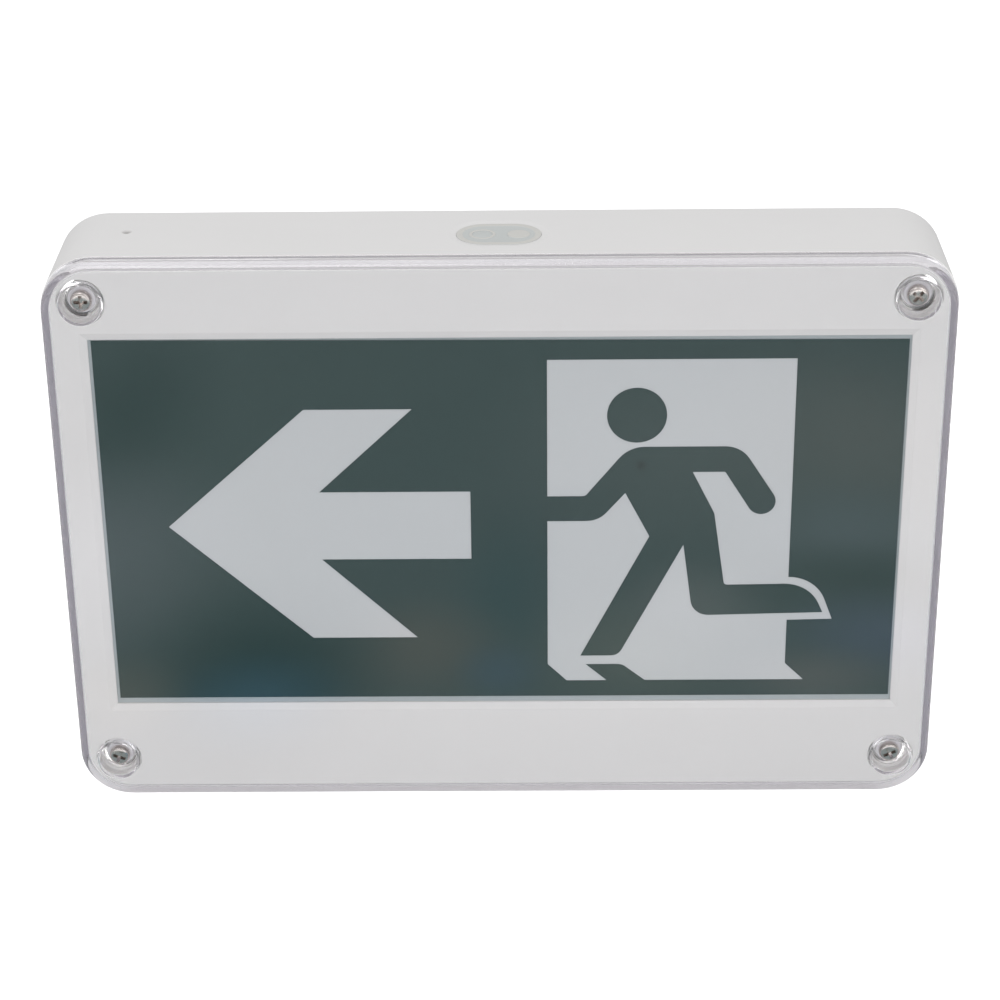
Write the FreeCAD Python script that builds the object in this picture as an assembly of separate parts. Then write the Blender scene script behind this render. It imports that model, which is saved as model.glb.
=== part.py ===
import FreeCAD, Part
import math
import os

# Emergency exit light: a sealed white box with a clear front cover over a running-figure legend.
# Millimetres. +X is to the right, the front faces -Y, +Z is up. The origin is the centre of the
# cable entry, in the plane of the wall (y = 0).

# ---- driving dimensions -------------------------------------------------------------------
# front cover
cover_width = 336.8
cover_height = 227.3
cover_corner_r = 19.5
cover_skirt_depth = 8.1
cover_face_thickness = 2.5
cover_skirt_thickness = 3.0
cover_edge_fillet = 3.0
cover_tongue_width = 1.2
cover_tongue_length = 1.0

# housing
housing_depth = 46.6
housing_step_x = 0.8          # the housing stands this far outside the cover at each side
housing_step_z = 0.1
housing_wall = 2.5
housing_back = 3.0
housing_back_fillet = 0.5
rim_inner_lip = 2.5           # inner lip of the seal groove
rim_height = 6.0

# cover screws, wells, seals and inserts
screw_inset_x = 14.8          # from the cover's side to its screws
screw_inset_z = 16.05
cover_screw_turns = (20.0, 65.0, 40.0, 0.0)   # degrees, as the screws happen to stand
well_mouth_r = 8.25
well_floor_r = 6.2
well_wall = 0.8
well_mouth_wall = 0.35
well_depth = 7.5
well_floor_thickness = 2.4
screw_r = 2.0
screw_length = 20.0
screw_head_r = 4.0
screw_head_height = 3.1
seal_r = 5.2
seal_thickness = 1.2
insert_r = 2.8
insert_length = 8.0
corner_boss_r = 6.0
corner_rib = 2.0

# seal cord between cover and housing
gasket_width = 1.6
gasket_height = 2.0
groove_side_gap = 0.1

# bezel and its window
window_side_margin = 16.0     # from the cover's outside to the edges of the window
window_top_margin = 31.15
window_bottom_margin = 40.55
bezel_thickness = 1.8
bezel_skirt = 1.2
window_bevel_width = 2.8
window_bevel_depth = 1.0
bezel_gap = 1.3               # air between the bezel and the cover's inner face
bezel_side_gap = 0.5
well_hole_gap = 0.5
well_cup_wall = 1.2           # cups on the bezel's back, round the screw wells
well_cup_floor = 1.0

# diffuser panel, film and print
diffuser_lap_x = 4.6          # the panel reaches this far behind the bezel
diffuser_lap_z = 3.7
diffuser_thickness = 2.5
film_left_gap = 1.2           # strips of bare panel left between the film and the window's edges
film_right_gap = 0.9
film_top_gap = 0.5
film_bottom_gap = 2.4
film_top_fall = 1.3           # the film is cut out of square: its top edge falls to the right
film_thickness = 0.35
ink_thickness = 0.15
pocket_gap = 0.3
pocket_rib = 1.2
pocket_rib_relief = 0.2

# the legend is drawn at this size, and keeps its proportions as it is fitted between its margins
legend_drawn_width = 255.1
legend_drawn_height = 137.0
legend_side_margin = 23.7
legend_top_margin = 8.8
legend_bottom_margin = 6.9
arrow_tip = -127.2
arrow_head_back = -73.7
arrow_head_tail = -33.0
arrow_neck = -69.0
arrow_tail = -11.6
arrow_half_head = 48.8
arrow_half_shaft = 14.4
door_left = 17.6
door_right = 110.45
door_half = 68.5
sill_offset = 7.4
print_bleed = 1.0             # how far the foot's shadow runs past the doorway
arm_bleed = 2.0
head_x = 51.3
head_z = 45.7
head_r = 11.25

# clips that hold the diffuser
clip_end_margin = 67.0        # from the panel's side to its first clip
clips_per_edge = 3
clip_width = 10.0
clip_thickness = 1.2
clip_overlap = 2.0
clip_end = 1.0                # how far a clip reaches past its boss
clip_boss_r = 2.5
clip_boss_gap = 0.5
clip_screw_r = 1.0
clip_screw_length = 3.4
clip_screw_head_r = 2.4
clip_screw_head_height = 1.6
clip_pilot_extra = 0.1

# reflector tray
tray_inset = 3.0              # from the diffuser's edges to the tray's
tray_sheet = 1.0
tray_post_height = 17.0
tray_post_r = 4.0
tray_post_inset_x = 6.0
tray_post_inset_z = 18.5
tray_rim_gap = 0.3
tray_screw_r = 1.75
tray_screw_length = 10.0
tray_screw_head_r = 3.5
tray_screw_head_height = 2.2

# light bars
light_bar_end_gap = 9.0
light_bar_inset_z = 33.5      # from the tray's upper and lower edges to a light bar
light_bar_width = 10.0
light_bar_thickness = 1.2
leds_per_bar = 12
led_end_margin = 13.0
led_width = 3.5
led_height = 2.8
led_depth = 0.9
bar_screws_per_bar = 3
leds_per_screw = 4            # one screw to every so many LEDs
bar_screw_r = 1.5
bar_screw_length = 2.0
bar_screw_head_r = 2.6
bar_screw_head_height = 1.5

# driver board and what stands on it
driver_side_margin = 28.2     # from the housing's side to the board
driver_width = 78.0
driver_height = 110.0
driver_thickness = 1.6
driver_post_height = 5.0
driver_post_r = 3.0
driver_hole_inset_x = 5.0
driver_hole_inset_z = 5.0
driver_screw_r = 1.1
driver_screw_length = 5.0
driver_screw_head_r = 2.3
driver_screw_head_height = 1.6
transformer_size = (24.0, 9.2, 20.0)
transformer_core = (12.0, 9.2, 26.0)
transformer_place = (-0.2, 0.24)   # places on the board, as shares of its width and height
capacitor_place = (0.16, 0.2)
relay_place = (-0.2, -0.12)
socket_place = -0.3
capacitor_r = 4.0
capacitor_length = 14.0
capacitor_pitch = 18.0
relay_size = (12.0, 9.0, 15.0)
terminal_size = (10.0, 9.5, 16.0)
terminal_ways = 3
terminal_mouth_r = 1.6
terminal_screw_r = 1.8
terminal_screw_inset = 1.0
terminal_screw_sink = 0.6
terminal_screw_well = 2.0
socket_size = (6.0, 6.0, 8.0)

# battery
battery_side_margin = 43.8    # from the housing's side to the cradle
cell_r = 7.0
cell_length = 50.0
cell_count = 3
cell_gap = 0.4
cap_r = 2.8
cap_height = 1.2
cradle_wall = 1.6
cradle_floor = 0.8
cradle_height = 8.0
strap_width = 10.0
strap_thickness = 0.6
strap_ear = 9.0
strap_post_height = 3.0
strap_post_r = 3.5
strap_screw_r = 1.1
strap_screw_length = 4.5
strap_screw_head_r = 2.3
strap_screw_head_height = 1.6

# cable entry, wall fixing and wall gasket
entry_r = 11.1
entry_collar = 2.0
entry_collar_wall = 3.0
wall_hole_spacing = 88.9
wall_hole_r = 2.4
wall_gasket_r = 58.0
wall_gasket_width = 4.0
wall_gasket_thickness = 1.5

# test window in the top of the housing
oval_length = 32.0
oval_width = 22.0
oval_y = -25.5
oval_dish = 2.6
oval_dish_depth = 0.35
membrane_gap = 0.1
membrane_flange = 3.0
membrane_flange_thickness = 1.2
membrane_skin = 1.0
membrane_ridge = 0.25
pad_x = -6.1
pad_r = 4.95
pad_ridge_width = 1.15
lens_x = 7.4
lens_r = 4.3
pocket_side_gap = 1.0
dimple_side_margin = 29.8
dimple_y = -21.3
dimple_depth = 0.8
dimple_ball_r = 2.5

# test switch, pilot lamp and their bracket
bracket_length = 44.0
bracket_width = 28.0
bracket_plate = 1.6
bracket_border = 2.0
bracket_drop = 11.45          # from the bracket's plate down to the board on its ledges
bracket_ledge = 2.0
bracket_ledge_thickness = 1.2
bracket_hook = 1.0
bracket_hook_width = 6.0
bracket_hook_height = 1.0
bracket_ear_length = 8.5
bracket_ear_width = 8.0
bracket_boss_length = 8.0
bracket_boss_r = 3.2
bracket_screw_r = 1.1
bracket_screw_length = 6.5
bracket_screw_head_r = 2.6
bracket_screw_head_height = 1.8
board_thickness = 1.6
board_width = 24.0
board_side_gap = 0.2
switch_body = 8.0
switch_height = 6.0
button_cap_r = 3.8
button_cap_round = 0.6
button_stem_r = 1.7
button_travel = 1.0
button_clear = 0.3
stem_side_gap = 0.1
stem_well_depth = 5.0
lamp_r = 2.5
lamp_flange_r = 2.9
lamp_flange_height = 1.0
lamp_body_height = 5.1
spacer_r = 3.4
spacer_height = 5.0

# clearances and small details
hole_clear = 0.25             # radial gap of a screw in a through hole
thread_clear = 0.05           # radial gap of a thread in its insert
pilot_extra = 0.4             # depth of a pilot hole past its screw
recess_share = 0.55           # cross recess width across a head, as a share of its diameter
recess_depth_share = 0.55     # its depth, as a share of the head's height
recess_slot_share = 0.24      # the width of one slot, as a share of the recess
head_round_share = 0.45       # rounding of a head, as a share of its height

# ---- places worked out from them ----------------------------------------------------------
housing_width = cover_width + 2 * housing_step_x
housing_height = cover_height + 2 * housing_step_z
housing_corner_r = cover_corner_r + housing_step_x
screw_x = cover_width / 2 - screw_inset_x
screw_z = cover_height / 2 - screw_inset_z
window_width = cover_width - 2 * window_side_margin
window_height = cover_height - window_top_margin - window_bottom_margin
window_rise = (window_bottom_margin - window_top_margin) / 2
diffuser_width = window_width + 2 * diffuser_lap_x
diffuser_height = window_height + 2 * diffuser_lap_z
film_left = window_width / 2 - film_left_gap
film_right = window_width / 2 - film_right_gap
film_top = window_height / 2 - film_top_gap
film_bottom = window_height / 2 - film_bottom_gap
legend_height = film_top - legend_top_margin + film_bottom - legend_bottom_margin
legend_width = film_left + film_right - 2 * legend_side_margin
legend_scale = min(legend_height / legend_drawn_height, legend_width / legend_drawn_width)
legend_middle = (film_top - legend_top_margin - film_bottom + legend_bottom_margin) / 2
clip_pitch = diffuser_width / 2 - clip_end_margin
tray_width = diffuser_width - 2 * tray_inset
tray_height = diffuser_height - 2 * tray_inset
light_bar_length = tray_width - 2 * light_bar_end_gap
led_pitch = (light_bar_length - 2 * led_end_margin) / (leds_per_bar - 1)
driver_x = -(housing_width / 2 - driver_side_margin - driver_width / 2)
dimple_x = -(housing_width / 2 - dimple_side_margin)
rim_y = -housing_depth
front_y = rim_y - cover_skirt_depth
cover_inner_y = front_y + cover_face_thickness
bezel_front_y = cover_inner_y + bezel_gap
bezel_back_y = bezel_front_y + bezel_thickness
diffuser_back_y = bezel_back_y + diffuser_thickness
well_floor_y = front_y + well_depth
boss_top_y = well_floor_y + well_floor_thickness
tray_back_y = -housing_back - tray_post_height
tray_front_y = tray_back_y - tray_sheet
driver_back_y = -housing_back - driver_post_height
driver_front_y = driver_back_y - driver_thickness
top_z = housing_height / 2
ceiling_z = top_z - housing_wall
flange_z = ceiling_z - membrane_flange_thickness
plate_z = flange_z - bracket_plate
board_bottom_z = plate_z - bracket_drop
board_top_z = board_bottom_z + board_thickness
ear_top_z = ceiling_z - bracket_boss_length
ear_bottom_z = ear_top_z - bracket_plate


# ---- helpers -------------------------------------------------------------------------------
def vec(x, y, z):
    return FreeCAD.Vector(x, y, z)


def fused(shapes):
    whole = shapes[0]
    if len(shapes) > 1:
        whole = whole.multiFuse(shapes[1:])
    return whole.removeSplitter()


def group(shapes):
    return Part.makeCompound(shapes)


def box(size, centre_x, centre_z, near_y, rise=-1):
    """A block of size (x, y, z) that stands on the plane near_y, towards the front by default."""
    low_y = near_y - size[1] if rise < 0 else near_y
    corner = vec(centre_x - size[0] / 2, low_y, centre_z - size[2] / 2)
    return Part.makeBox(size[0], size[1], size[2], corner)


def rod_y(r, x, z, front, back):
    return Part.makeCylinder(r, back - front, vec(x, front, z), vec(0, 1, 0))


def rod_z(r, x, y, low, high):
    return Part.makeCylinder(r, high - low, vec(x, y, low), vec(0, 0, 1))


def outline(points):
    """A closed wire in the XZ plane through (x, z, corner radius) points."""
    edges = []
    count = len(points)
    joins = []
    for i in range(count):
        x, z, r = points[i]
        here = vec(x, 0, z)
        before = vec(points[i - 1][0], 0, points[i - 1][1])
        after = vec(points[(i + 1) % count][0], 0, points[(i + 1) % count][1])
        into = (here - before).normalize()
        out = (after - here).normalize()
        if r <= 0:
            joins.append((here, None, here))
            continue
        turn = into.getAngle(out)
        reach = r * math.tan(turn / 2)
        start = here - into * reach
        end = here + out * reach
        inward = (out - into).normalize()
        middle = here + inward * (r / math.cos(turn / 2) - r)
        joins.append((start, middle, end))
    for i in range(count):
        start, middle, end = joins[i]
        if middle is not None:
            edges.append(Part.Arc(start, middle, end).toShape())
        following = joins[(i + 1) % count][0]
        if end.distanceToPoint(following) > 1e-6:
            edges.append(Part.LineSegment(end, following).toShape())
    return Part.Wire(edges)


def slab(points, front, back):
    """The outline as a plate between two depths."""
    face = Part.Face(outline(points))
    face.translate(vec(0, front, 0))
    return face.extrude(vec(0, back - front, 0))


def rounded(width, height, r, centre_z=0.0):
    x = width / 2
    z = height / 2
    return [(-x, centre_z - z, r), (-x, centre_z + z, r), (x, centre_z + z, r), (x, centre_z - z, r)]


def rounded_slab(width, height, r, front, back, centre_z=0.0):
    return slab(rounded(width, height, r, centre_z), front, back)


def stadium(length, width, low, high, centre_y=oval_y):
    """An upright plate with two straight sides along X and two half-round ends."""
    r = width / 2
    reach = length / 2 - r
    core = Part.makeBox(2 * reach, width, high - low, vec(-reach, centre_y - r, low))
    return fused([core, rod_z(r, -reach, centre_y, low, high), rod_z(r, reach, centre_y, low, high)])


def square(x, z):
    """The four places at plus and minus x and z."""
    return [(-x, -z), (x, -z), (x, z), (-x, z)]


def row(count, pitch):
    """Places along a line, centred on zero."""
    return [(i - (count - 1) / 2) * pitch for i in range(count)]


def pan_screw(head_r, head_height, shaft_r, length, seat, direction, turn=0.0):
    """A pan head screw whose head sits on seat; direction points from the head down the shaft."""
    head = Part.makeCylinder(head_r, head_height, vec(0, 0, -head_height))
    rim = [edge for edge in head.Edges if abs(edge.BoundBox.ZMin + head_height) < 1e-6
           and abs(edge.BoundBox.ZMax + head_height) < 1e-6]
    head = head.makeFillet(head_round_share * min(head_height, head_r), rim)
    screw = head.fuse(Part.makeCylinder(shaft_r, length))
    slot = 2 * head_r * recess_share
    narrow = slot * recess_slot_share
    depth = recess_depth_share * head_height
    for angle in (turn, turn + 90.0):
        blade = Part.makeBox(slot, narrow, depth, vec(-slot / 2, -narrow / 2, -head_height))
        blade.rotate(vec(0, 0, 0), vec(0, 0, 1), angle)
        screw = screw.cut(blade)
    screw.Placement = FreeCAD.Placement(seat, FreeCAD.Rotation(vec(0, 0, 1), direction))
    return screw


def cover_screw_places():
    return square(screw_x, screw_z)


def tray_post_places():
    reach_x = tray_width / 2 - tray_post_inset_x
    reach_z = tray_height / 2 - tray_post_inset_z
    return [(x, z + window_rise) for x, z in square(reach_x, reach_z)]


def driver_post_places():
    reach_x = driver_width / 2 - driver_hole_inset_x
    reach_z = driver_height / 2 - driver_hole_inset_z
    return [(driver_x + x, z) for x, z in square(reach_x, reach_z)]


def cradle_size():
    width = cell_count * 2 * cell_r + (cell_count - 1) * cell_gap + 2 * (cell_gap + cradle_wall)
    height = cell_length + cap_height + 2 * (cell_gap + cradle_wall)
    return width, height


def battery_middle():
    return housing_width / 2 - battery_side_margin - cradle_size()[0] / 2


def strap_ear_x():
    return cradle_size()[0] / 2 + strap_thickness + strap_ear / 2


def strap_post_places():
    reach = strap_ear_x()
    return [(battery_middle() - reach, 0.0), (battery_middle() + reach, 0.0)]


def clip_places():
    """(x, z, side) of each diffuser clip's screw; side is +1 along the top and -1 below."""
    reach = diffuser_height / 2 + pocket_gap + pocket_rib + clip_boss_r + clip_boss_gap
    along = row(clips_per_edge, clip_pitch)
    return [(x, window_rise + side * reach, side) for side in (1, -1) for x in along]


def bracket_screw_x():
    return bracket_length / 2 + bracket_ear_length - bracket_ear_width / 2


# ---- casing --------------------------------------------------------------------------------
def make_housing():
    shell = rounded_slab(housing_width, housing_height, housing_corner_r, rim_y, 0.0)
    back_edges = [edge for edge in shell.Edges if edge.BoundBox.YMin > -1e-6]
    shell = shell.makeFillet(housing_back_fillet, back_edges)

    cavity_w = housing_width - 2 * housing_wall
    cavity_h = housing_height - 2 * housing_wall
    cavity_r = housing_corner_r - housing_wall
    rim_back_y = rim_y + rim_height
    cavity = rounded_slab(cavity_w, cavity_h, cavity_r, rim_back_y, -housing_back)
    mouth = within_cover(rim_lip_offset(), rim_y, rim_back_y)
    shell = shell.cut(cavity.fuse(mouth)).cut(seal_ring(groove_side_gap, rim_y, groove_floor_y()))

    posts = []
    drills = []
    for x, z in cover_screw_places():
        posts.append(rod_y(corner_boss_r, x, z, boss_top_y, -housing_back))
        posts.extend(corner_ribs(x, z))
        drills.append(rod_y(insert_r, x, z, boss_top_y, boss_top_y + insert_length))
        tip = seat_y() + screw_length + pilot_extra
        drills.append(rod_y(screw_r + hole_clear, x, z, boss_top_y, tip))
    for x, z in tray_post_places():
        posts.append(rod_y(tray_post_r, x, z, tray_back_y, -housing_back))
        drills.append(rod_y(tray_screw_r, x, z, tray_back_y, tray_front_y + tray_screw_length + pilot_extra))
    for x, z in driver_post_places():
        posts.append(rod_y(driver_post_r, x, z, driver_back_y, -housing_back))
        tip = driver_front_y + driver_screw_length + pilot_extra
        drills.append(rod_y(driver_screw_r, x, z, driver_back_y, tip))
    strap_y = -housing_back - strap_post_height
    for x, z in strap_post_places():
        posts.append(rod_y(strap_post_r, x, z, strap_y, -housing_back))
        tip = strap_y - strap_thickness + strap_screw_length + pilot_extra
        drills.append(rod_y(strap_screw_r, x, z, strap_y, tip))
    posts.append(rod_y(entry_r + entry_collar_wall, 0, 0, -housing_back - entry_collar, -housing_back))
    drills.append(rod_y(entry_r, 0, 0, -housing_back - entry_collar, 0.0))
    for x in row(2, wall_hole_spacing):
        drills.append(rod_y(wall_hole_r, x, 0, -housing_back, 0.0))
    for side in (-1, 1):
        x = side * bracket_screw_x()
        posts.append(rod_z(bracket_boss_r, x, oval_y, ear_top_z, ceiling_z))
        tip = ear_bottom_z + bracket_screw_length + pilot_extra
        drills.append(rod_z(bracket_screw_r, x, oval_y, ear_top_z, tip))
    shell = fused([shell] + posts)

    drills.append(wall_gasket_ring())
    drills.append(stadium(oval_length, oval_width, ceiling_z, top_z))
    drills.append(oval_dish_cut())
    ball_z = top_z + dimple_ball_r - dimple_depth
    drills.append(Part.makeSphere(dimple_ball_r, vec(dimple_x, dimple_y, ball_z)))
    return shell.cut(drills)


def corner_ribs(x, z):
    """Two webs from a corner boss to the nearest walls."""
    side_x = math.copysign(housing_width / 2 - housing_wall, x)
    side_z = math.copysign(housing_height / 2 - housing_wall, z)
    low_y = rim_y + rim_height
    depth = -housing_back - low_y
    to_side = Part.makeBox(abs(side_x - x), depth, corner_rib, vec(min(x, side_x), low_y, z - corner_rib / 2))
    to_edge = Part.makeBox(corner_rib, depth, abs(side_z - z), vec(x - corner_rib / 2, low_y, min(z, side_z)))
    return [to_side, to_edge]


def oval_dish_cut():
    """A shallow dish round the oval opening, cut into the top of the housing."""
    low = stadium_wire(oval_length, oval_width, top_z - oval_dish_depth)
    high = stadium_wire(oval_length + 2 * oval_dish, oval_width + 2 * oval_dish, top_z)
    return Part.makeLoft([low, high], True, True)


def stadium_wire(length, width, z):
    r = width / 2
    reach = length / 2 - r
    right = Part.Arc(vec(reach, oval_y - r, z), vec(reach + r, oval_y, z), vec(reach, oval_y + r, z))
    left = Part.Arc(vec(-reach, oval_y + r, z), vec(-reach - r, oval_y, z), vec(-reach, oval_y - r, z))
    far = Part.LineSegment(vec(reach, oval_y + r, z), vec(-reach, oval_y + r, z))
    near = Part.LineSegment(vec(-reach, oval_y - r, z), vec(reach, oval_y - r, z))
    return Part.Wire([right.toShape(), far.toShape(), left.toShape(), near.toShape()])


def seat_y():
    """Where the cover screws' heads sit: on the seals, above the floors of the wells."""
    return well_floor_y - seal_thickness


def tongue_outer_offset():
    return cover_skirt_thickness - cover_tongue_width


def seal_offsets(grow):
    """From the cover's outside to the outer and inner edges of a ring wider by grow than the seal."""
    spread = grow + (gasket_width - cover_tongue_width) / 2
    return tongue_outer_offset() - spread, tongue_outer_offset() + cover_tongue_width + spread


def rim_lip_offset():
    """From the cover's outside to the inner edge of the rim."""
    return seal_offsets(groove_side_gap)[1] + rim_inner_lip


def groove_floor_y():
    return rim_y + cover_tongue_length + gasket_height


def within_cover(inset, front, back):
    """A plate of the cover's outline, smaller by inset all round."""
    return rounded_slab(cover_width - 2 * inset, cover_height - 2 * inset, cover_corner_r - inset,
                        front, back)


def seal_ring(grow, front, back):
    """A closed ring under the cover's tongue, wider by grow on each side than the seal cord."""
    outer, inner = seal_offsets(grow)
    return within_cover(outer, front, back).cut(within_cover(inner, front, back))


def make_front_cover():
    shell = within_cover(0, front_y, rim_y)
    front_edges = [edge for edge in shell.Edges if edge.BoundBox.YMax < front_y + 1e-6]
    shell = shell.makeFillet(cover_edge_fillet, front_edges)
    shell = shell.cut(within_cover(cover_skirt_thickness, cover_inner_y, rim_y))
    tongue_end_y = rim_y + cover_tongue_length
    tongue = within_cover(tongue_outer_offset(), rim_y, tongue_end_y)
    pieces = [shell, tongue.cut(within_cover(cover_skirt_thickness, rim_y, tongue_end_y))]
    cuts = []
    for x, z in cover_screw_places():
        length = boss_top_y - cover_inner_y
        pieces.append(Part.makeCone(well_mouth_r + well_mouth_wall, well_floor_r + well_wall, length,
                                    vec(x, cover_inner_y, z), vec(0, 1, 0)))
        cuts.append(Part.makeCone(well_mouth_r, well_floor_r, well_depth, vec(x, front_y, z), vec(0, 1, 0)))
        cuts.append(rod_y(screw_r + hole_clear, x, z, well_floor_y, boss_top_y))
    return fused(pieces).cut(cuts)


def make_cover_gasket():
    return seal_ring(0.0, rim_y + cover_tongue_length, groove_floor_y())


def make_cover_screws():
    return group([pan_screw(screw_head_r, screw_head_height, screw_r, screw_length,
                            vec(x, seat_y(), z), vec(0, 1, 0), turn)
                  for (x, z), turn in zip(cover_screw_places(), cover_screw_turns)])


def make_screw_seals():
    return group([rod_y(seal_r, x, z, seat_y(), well_floor_y).cut(
        rod_y(screw_r + hole_clear, x, z, seat_y(), well_floor_y)) for x, z in cover_screw_places()])


def make_threaded_inserts():
    end = boss_top_y + insert_length
    return group([rod_y(insert_r, x, z, boss_top_y, end).cut(
        rod_y(screw_r + thread_clear, x, z, boss_top_y, end)) for x, z in cover_screw_places()])


def wall_gasket_ring():
    outer = rod_y(wall_gasket_r + wall_gasket_width / 2, 0, 0, -wall_gasket_thickness, 0.0)
    return outer.cut(rod_y(wall_gasket_r - wall_gasket_width / 2, 0, 0, -wall_gasket_thickness, 0.0))


# ---- bezel and legend ----------------------------------------------------------------------
def make_bezel():
    gap = cover_skirt_thickness + bezel_side_gap
    block = within_cover(gap, bezel_front_y, rim_y)
    block = block.cut(within_cover(gap + bezel_skirt, bezel_back_y, rim_y))
    adds = [diffuser_pocket()]
    cuts = [rounded_slab(window_width, window_height, 0, bezel_front_y, bezel_back_y, window_rise)]
    for x, z, side in clip_places():
        adds.append(rod_y(clip_boss_r, x, z, bezel_back_y, diffuser_back_y))
        tip = diffuser_back_y + clip_thickness - clip_screw_length - clip_pilot_extra
        cuts.append(rod_y(clip_screw_r, x, z, tip, diffuser_back_y))
    cup_r = well_mouth_r + well_mouth_wall + well_hole_gap
    cup_floor_y = rim_y - well_cup_floor
    for x, z in cover_screw_places():
        adds.append(rod_y(cup_r + well_cup_wall, x, z, bezel_back_y, rim_y))
        cuts.append(rod_y(cup_r, x, z, bezel_front_y, cup_floor_y))
        cuts.append(rod_y(well_outer_r(cup_floor_y) + well_hole_gap, x, z, cup_floor_y, rim_y))
    wide = outline(rounded(window_width + 2 * window_bevel_width, window_height + 2 * window_bevel_width,
                           0, window_rise))
    wide.translate(vec(0, bezel_front_y, 0))
    narrow = outline(rounded(window_width, window_height, 0, window_rise))
    narrow.translate(vec(0, bezel_front_y + window_bevel_depth, 0))
    cuts.append(Part.makeLoft([wide, narrow], True, True))
    return fused([block] + adds).cut(cuts)


def well_outer_r(y):
    """The outer radius of a screw well where it crosses the depth y."""
    taper = well_mouth_r + well_mouth_wall - well_floor_r - well_wall
    return well_mouth_r + well_mouth_wall - taper * (y - cover_inner_y) / (boss_top_y - cover_inner_y)


def diffuser_pocket():
    """The rib on the bezel's back that the diffuser panel drops into."""
    inner_w = diffuser_width + 2 * pocket_gap
    inner_h = diffuser_height + 2 * pocket_gap
    back = diffuser_back_y - pocket_rib_relief
    rib = rounded_slab(inner_w + 2 * pocket_rib, inner_h + 2 * pocket_rib, 0, bezel_back_y, back, window_rise)
    return rib.cut(rounded_slab(inner_w, inner_h, 0, bezel_back_y, back, window_rise))


def make_diffuser_panel():
    return rounded_slab(diffuser_width, diffuser_height, 0, bezel_back_y, diffuser_back_y, window_rise)


def window_slab(points, front, back):
    """A plate given from the window's centre."""
    plate = slab(points, front, back)
    plate.translate(vec(0, 0, window_rise))
    return plate


def drawn(points, front, back):
    """A plate given as drawn for the legend, brought to the legend's scale and place."""
    scaled = [(x * legend_scale, z * legend_scale + legend_middle, r * legend_scale) for x, z, r in points]
    return window_slab(scaled, front, back)


def film_outline():
    return [(-film_left, -film_bottom, 0), (-film_left, film_top, 0),
            (film_right, film_top - film_top_fall, 0), (film_right, -film_bottom, 0)]


def arrow_outline():
    half = [(arrow_head_back, arrow_half_head, 0), (arrow_head_tail, arrow_half_head, 0),
            (arrow_neck, arrow_half_shaft, 0), (arrow_tail, arrow_half_shaft, 0)]
    return [(arrow_tip, 0.0, 0)] + half + [(x, -z, r) for x, z, r in reversed(half)]


def door_outline():
    """The open doorway with its slanted sill, and the clear band round the rear foot."""
    sill_z = sill_offset - door_half
    return [(door_left, sill_z, 0), (door_left, door_half, 0), (door_right, door_half, 0),
            (door_right, -23.0, 0), (121.0, -23.0, 15.0), (127.9, -41.5, 0), (door_right, -41.9, 0),
            (door_right, sill_z, 0), (door_right + sill_offset, -door_half, 0),
            (door_left + sill_offset, -door_half, 0)]


def figure_outline():
    """The running figure without its head; its rear arm meets the ground at the door's left edge."""
    arm_end = door_left - arm_bleed
    return [(arm_end, 12.1, 0), (32.0, 12.1, 2.0), (48.5, 32.65, 12.5), (90.7, 32.65, 10.9),
            (106.4, 7.9, 5.38), (97.2, 2.1, 5.38), (84.9, 22.1, 1.0), (72.6, 22.1, 0), (81.2, 4.6, 2.0),
            (85.7, -26.3, 1.4), (118.6, -25.9, 14.4), (124.1, -38.5, 0), (73.8, -39.6, 6.9),
            (69.7, -8.8, 0), (45.1, -57.3, 4.7), (30.4, -57.3, 0), (56.6, -5.1, 0), (47.2, 13.4, 0),
            (37.1, 1.6, 10.0), (arm_end, 1.6, 0)]


def shadow_outline():
    """The foot's shadow, which runs into the ground below the doorway."""
    low = -door_half - print_bleed
    return [(32.5, -61.2, 0), (46.6, -61.2, 5.0), (56.9, low, 0), (41.9, low, 0)]


def make_legend_film():
    return window_slab(film_outline(), bezel_back_y - film_thickness, bezel_back_y)


def make_legend_ink():
    back = bezel_back_y - film_thickness
    front = back - ink_thickness
    head = rod_y(head_r * legend_scale, head_x * legend_scale,
                 head_z * legend_scale + legend_middle + window_rise, front, back)
    clear = drawn(door_outline(), front, back).cut(
        [drawn(figure_outline(), front, back), drawn(shadow_outline(), front, back), head])
    return window_slab(film_outline(), front, back).cut([drawn(arrow_outline(), front, back), clear])


def make_panel_clips():
    clips = []
    for x, z, side in clip_places():
        inner = window_rise + side * (diffuser_height / 2 - clip_overlap)
        outer = z + side * (clip_boss_r + clip_end)
        clip = Part.makeBox(clip_width, clip_thickness, abs(outer - inner),
                            vec(x - clip_width / 2, diffuser_back_y, min(inner, outer)))
        clips.append(clip.cut(rod_y(clip_screw_r + hole_clear, x, z, diffuser_back_y,
                                    diffuser_back_y + clip_thickness)))
    return group(clips)


def make_clip_screws():
    seat = diffuser_back_y + clip_thickness
    return group([pan_screw(clip_screw_head_r, clip_screw_head_height, clip_screw_r, clip_screw_length,
                            vec(x, seat, z), vec(0, -1, 0)) for x, z, side in clip_places()])


# ---- light box -----------------------------------------------------------------------------
def make_reflector_tray():
    rim = diffuser_back_y + tray_rim_gap
    block = rounded_slab(tray_width, tray_height, 0, rim, tray_back_y, window_rise)
    hollow = rounded_slab(tray_width - 2 * tray_sheet, tray_height - 2 * tray_sheet, 0,
                          rim, tray_front_y, window_rise)
    holes = [rod_y(tray_screw_r + hole_clear, x, z, tray_front_y, tray_back_y) for x, z in tray_post_places()]
    for z in light_bar_rows():
        holes.extend(rod_y(bar_screw_r, x, z, tray_front_y, tray_back_y) for x in bar_screw_places())
    return block.cut([hollow] + holes)


def light_bar_rows():
    reach = tray_height / 2 - light_bar_inset_z
    return [window_rise + reach, window_rise - reach]


def bar_screw_places():
    return row(bar_screws_per_bar, leds_per_screw * led_pitch)


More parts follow.
